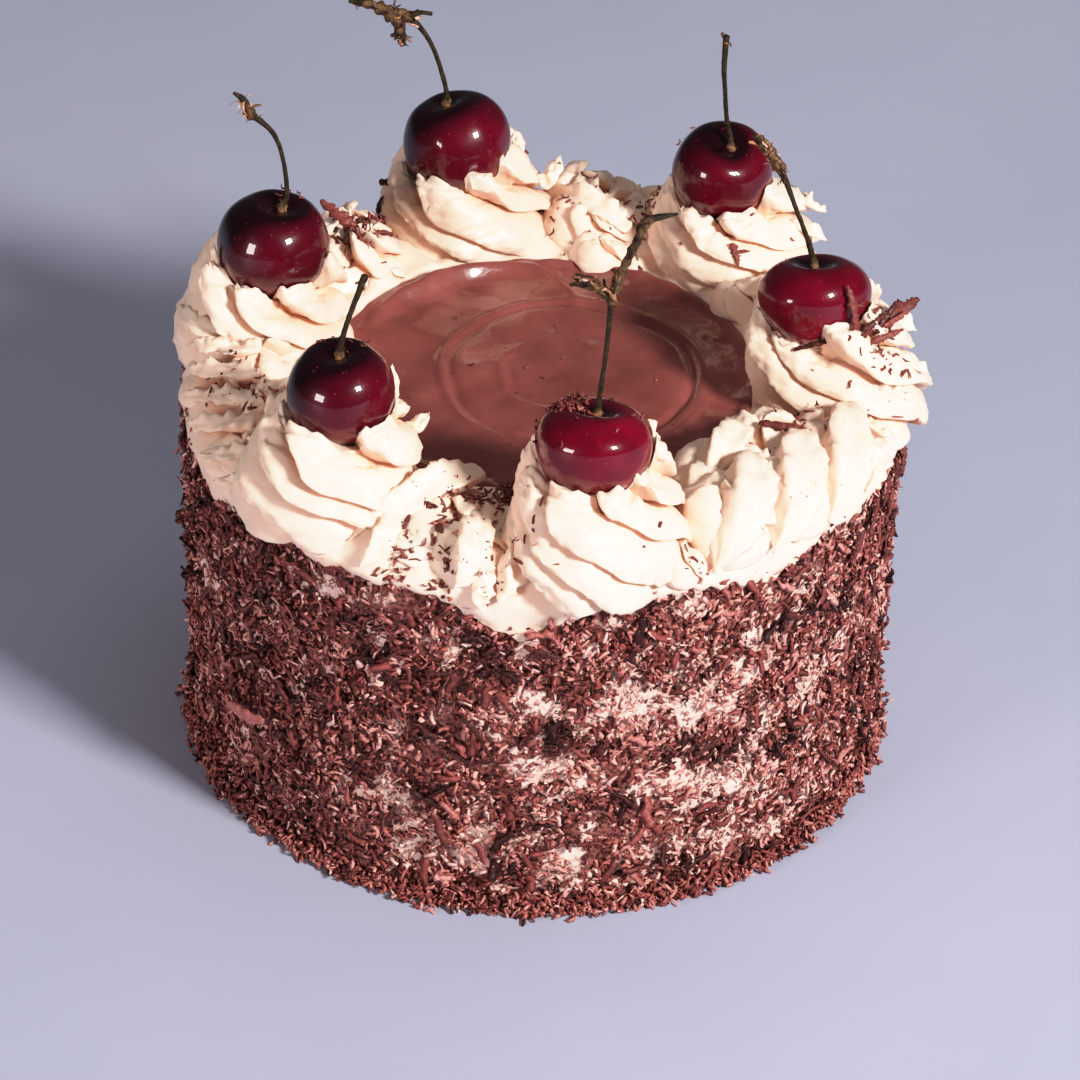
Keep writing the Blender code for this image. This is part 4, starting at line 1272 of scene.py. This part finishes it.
def photo_camera():
    """The photograph's angle: from the front, 35 degrees up, with a long lens."""
    lens, sensor = 149.245, 36.0
    elevation, distance, roll = math.radians(35.49), 0.9906, math.radians(1.676)
    target = Vector((0.00029, 0, 0.0425))
    forward = Vector((0, math.cos(elevation), -math.sin(elevation)))
    right = Vector((1, 0, 0))
    up = right.cross(forward)
    tilted_right = right * math.cos(roll) + up * math.sin(roll)
    tilted_up = up * math.cos(roll) - right * math.sin(roll)
    data = bpy.data.cameras.new("camera")
    data.lens, data.sensor_width = lens, sensor
    data.clip_start, data.clip_end = 0.05, 20
    camera = bpy.data.objects.new("camera", data)
    bpy.context.scene.collection.objects.link(camera)
    matrix = Matrix((tilted_right, tilted_up, -forward)).transposed().to_4x4()
    matrix.translation = target - forward * distance
    camera.matrix_world = matrix
    bpy.context.scene.camera = camera


def area_light(name, azimuth, elevation, distance, size, power, colour, glints=True):
    """A square soft light that looks at the cake, and is seen in glossy things or not."""
    data = bpy.data.lights.new(name, "AREA")
    data.size, data.energy, data.color = size, power, colour
    lamp = bpy.data.objects.new(name, data)
    bpy.context.scene.collection.objects.link(lamp)
    turn, lift = math.radians(azimuth), math.radians(elevation)
    flat = math.cos(lift)
    away = Vector((math.cos(turn) * flat, math.sin(turn) * flat, math.sin(lift)))
    lamp.matrix_world = away.to_track_quat("Z", "Y").to_matrix().to_4x4()
    lamp.location = Vector((0, 0, 0.06)) + away * distance
    lamp.visible_glossy = glints


def camera_tones():
    """Rolls the brightest tones off towards white and deepens the dark ones, as a camera does."""
    view = bpy.context.scene.view_settings
    view.view_transform = "Standard"
    view.use_curve_mapping = True
    tones = view.curve_mapping
    tones.clip_max_x = 2.0
    curve = tones.curves[3]
    curve.points[0].location = (0, 0)
    curve.points[1].location = (2.0, 1.0)
    for place in ((0.1, 0.08), (0.5, 0.47), (0.9, 0.83), (1.35, 0.96)):
        curve.points.new(*place)
    tones.update()


def studio():
    world = bpy.data.worlds.new("studio")
    bpy.context.scene.world = world
    world.use_nodes = True
    back = world.node_tree.nodes["Background"]
    back.inputs["Color"].default_value = (0.95, 0.92, 1.0, 1)
    back.inputs["Strength"].default_value = 0.075
    area_light("key", -43, 34, 1.6, 0.27, 41, (1.0, 0.98, 0.96))
    area_light("fill", -135, 12, 1.2, 0.3, 7.0, (1.0, 0.90, 0.88))
    area_light("sky", 60, 78, 1.2, 0.9, 3.2, (0.97, 0.97, 1.0), glints=False)
    camera_tones()
    bpy.ops.mesh.primitive_grid_add(x_subdivisions=8, y_subdivisions=8, size=6)
    floor = bpy.context.object
    floor.name = "studio_floor"
    floor.data.materials.append(floor_look())


def cream_swirls(look, cherries):
    heaps = {}
    for seed, (name, azimuth, distance, ridges, sweep, turn, *rim) in enumerate(ROSETTES):
        cherry = cherries[name]
        height = cherry.middle[2] - RIM_DROP - CREAM_FLOOR
        heaps[f"rosette_{name}"] = [swirl(polar(azimuth, distance), ROSETTE_PROFILE, ROSETTE_RADIUS, height,
                                          (ridges, sweep, turn), 100 + 10 * seed, cherry, rim)]
    for seed, (name, dollops) in enumerate(FILLERS.items()):
        heaps[f"filler_{name}"] = [
            swirl(polar(azimuth, distance), FILLER_PROFILE, radius, height, pattern,
                  300 + 50 * seed + 5 * number)
            for number, (azimuth, distance, radius, height, *pattern) in enumerate(dollops)
        ]
    made = []
    for name, parts in heaps.items():
        parts += [strand(line, 600 + 7 * number) for number, line in enumerate(STRANDS.get(name, ()))]
        whole, hollow = joined(parts)
        made.append(piece(f"cream_{name}", *whole, look, "whipped_cream", [name], hollow=hollow))
    return made


def main():
    photo_camera()
    studio()
    looks = {
        "cream": cream_look(),
        "shaving": chocolate_look(
            "shaved_chocolate", (0.030, 0.005, 0.004), (0.29, 0.070, 0.060), (0.64, 0.28, 0.24), 0.5
        ),
        "ganache": ganache_look(),
        "cherry": cherry_look(),
        "stem": stem_look(),
        "coat": coat_look(),
        "husk": chocolate_look(
            "dry_husk", (0.02, 0.010, 0.006), (0.13, 0.055, 0.025), (0.50, 0.24, 0.12), 0.45
        ),
    }
    cherries = {name: Cherry(name) for name in STEMS}
    body(looks["coat"])
    top = ganache(looks["ganache"])
    cream = [collar(looks["cream"])] + cream_swirls(looks["cream"], cherries)
    ends = {}
    for seed, (name, cherry) in enumerate(cherries.items()):
        cream.append(cherry.build(looks["cherry"], seed))
        ends[name] = cherry.build_stem(looks["stem"], 80 + 5 * seed)
    husks(looks["husk"], ends)
    coat_shavings(looks)
    skirt_crumbs(looks)
    sprinkles(looks["shaving"], cream + [top])
    shards(looks["shaving"], cream + [top])


main()
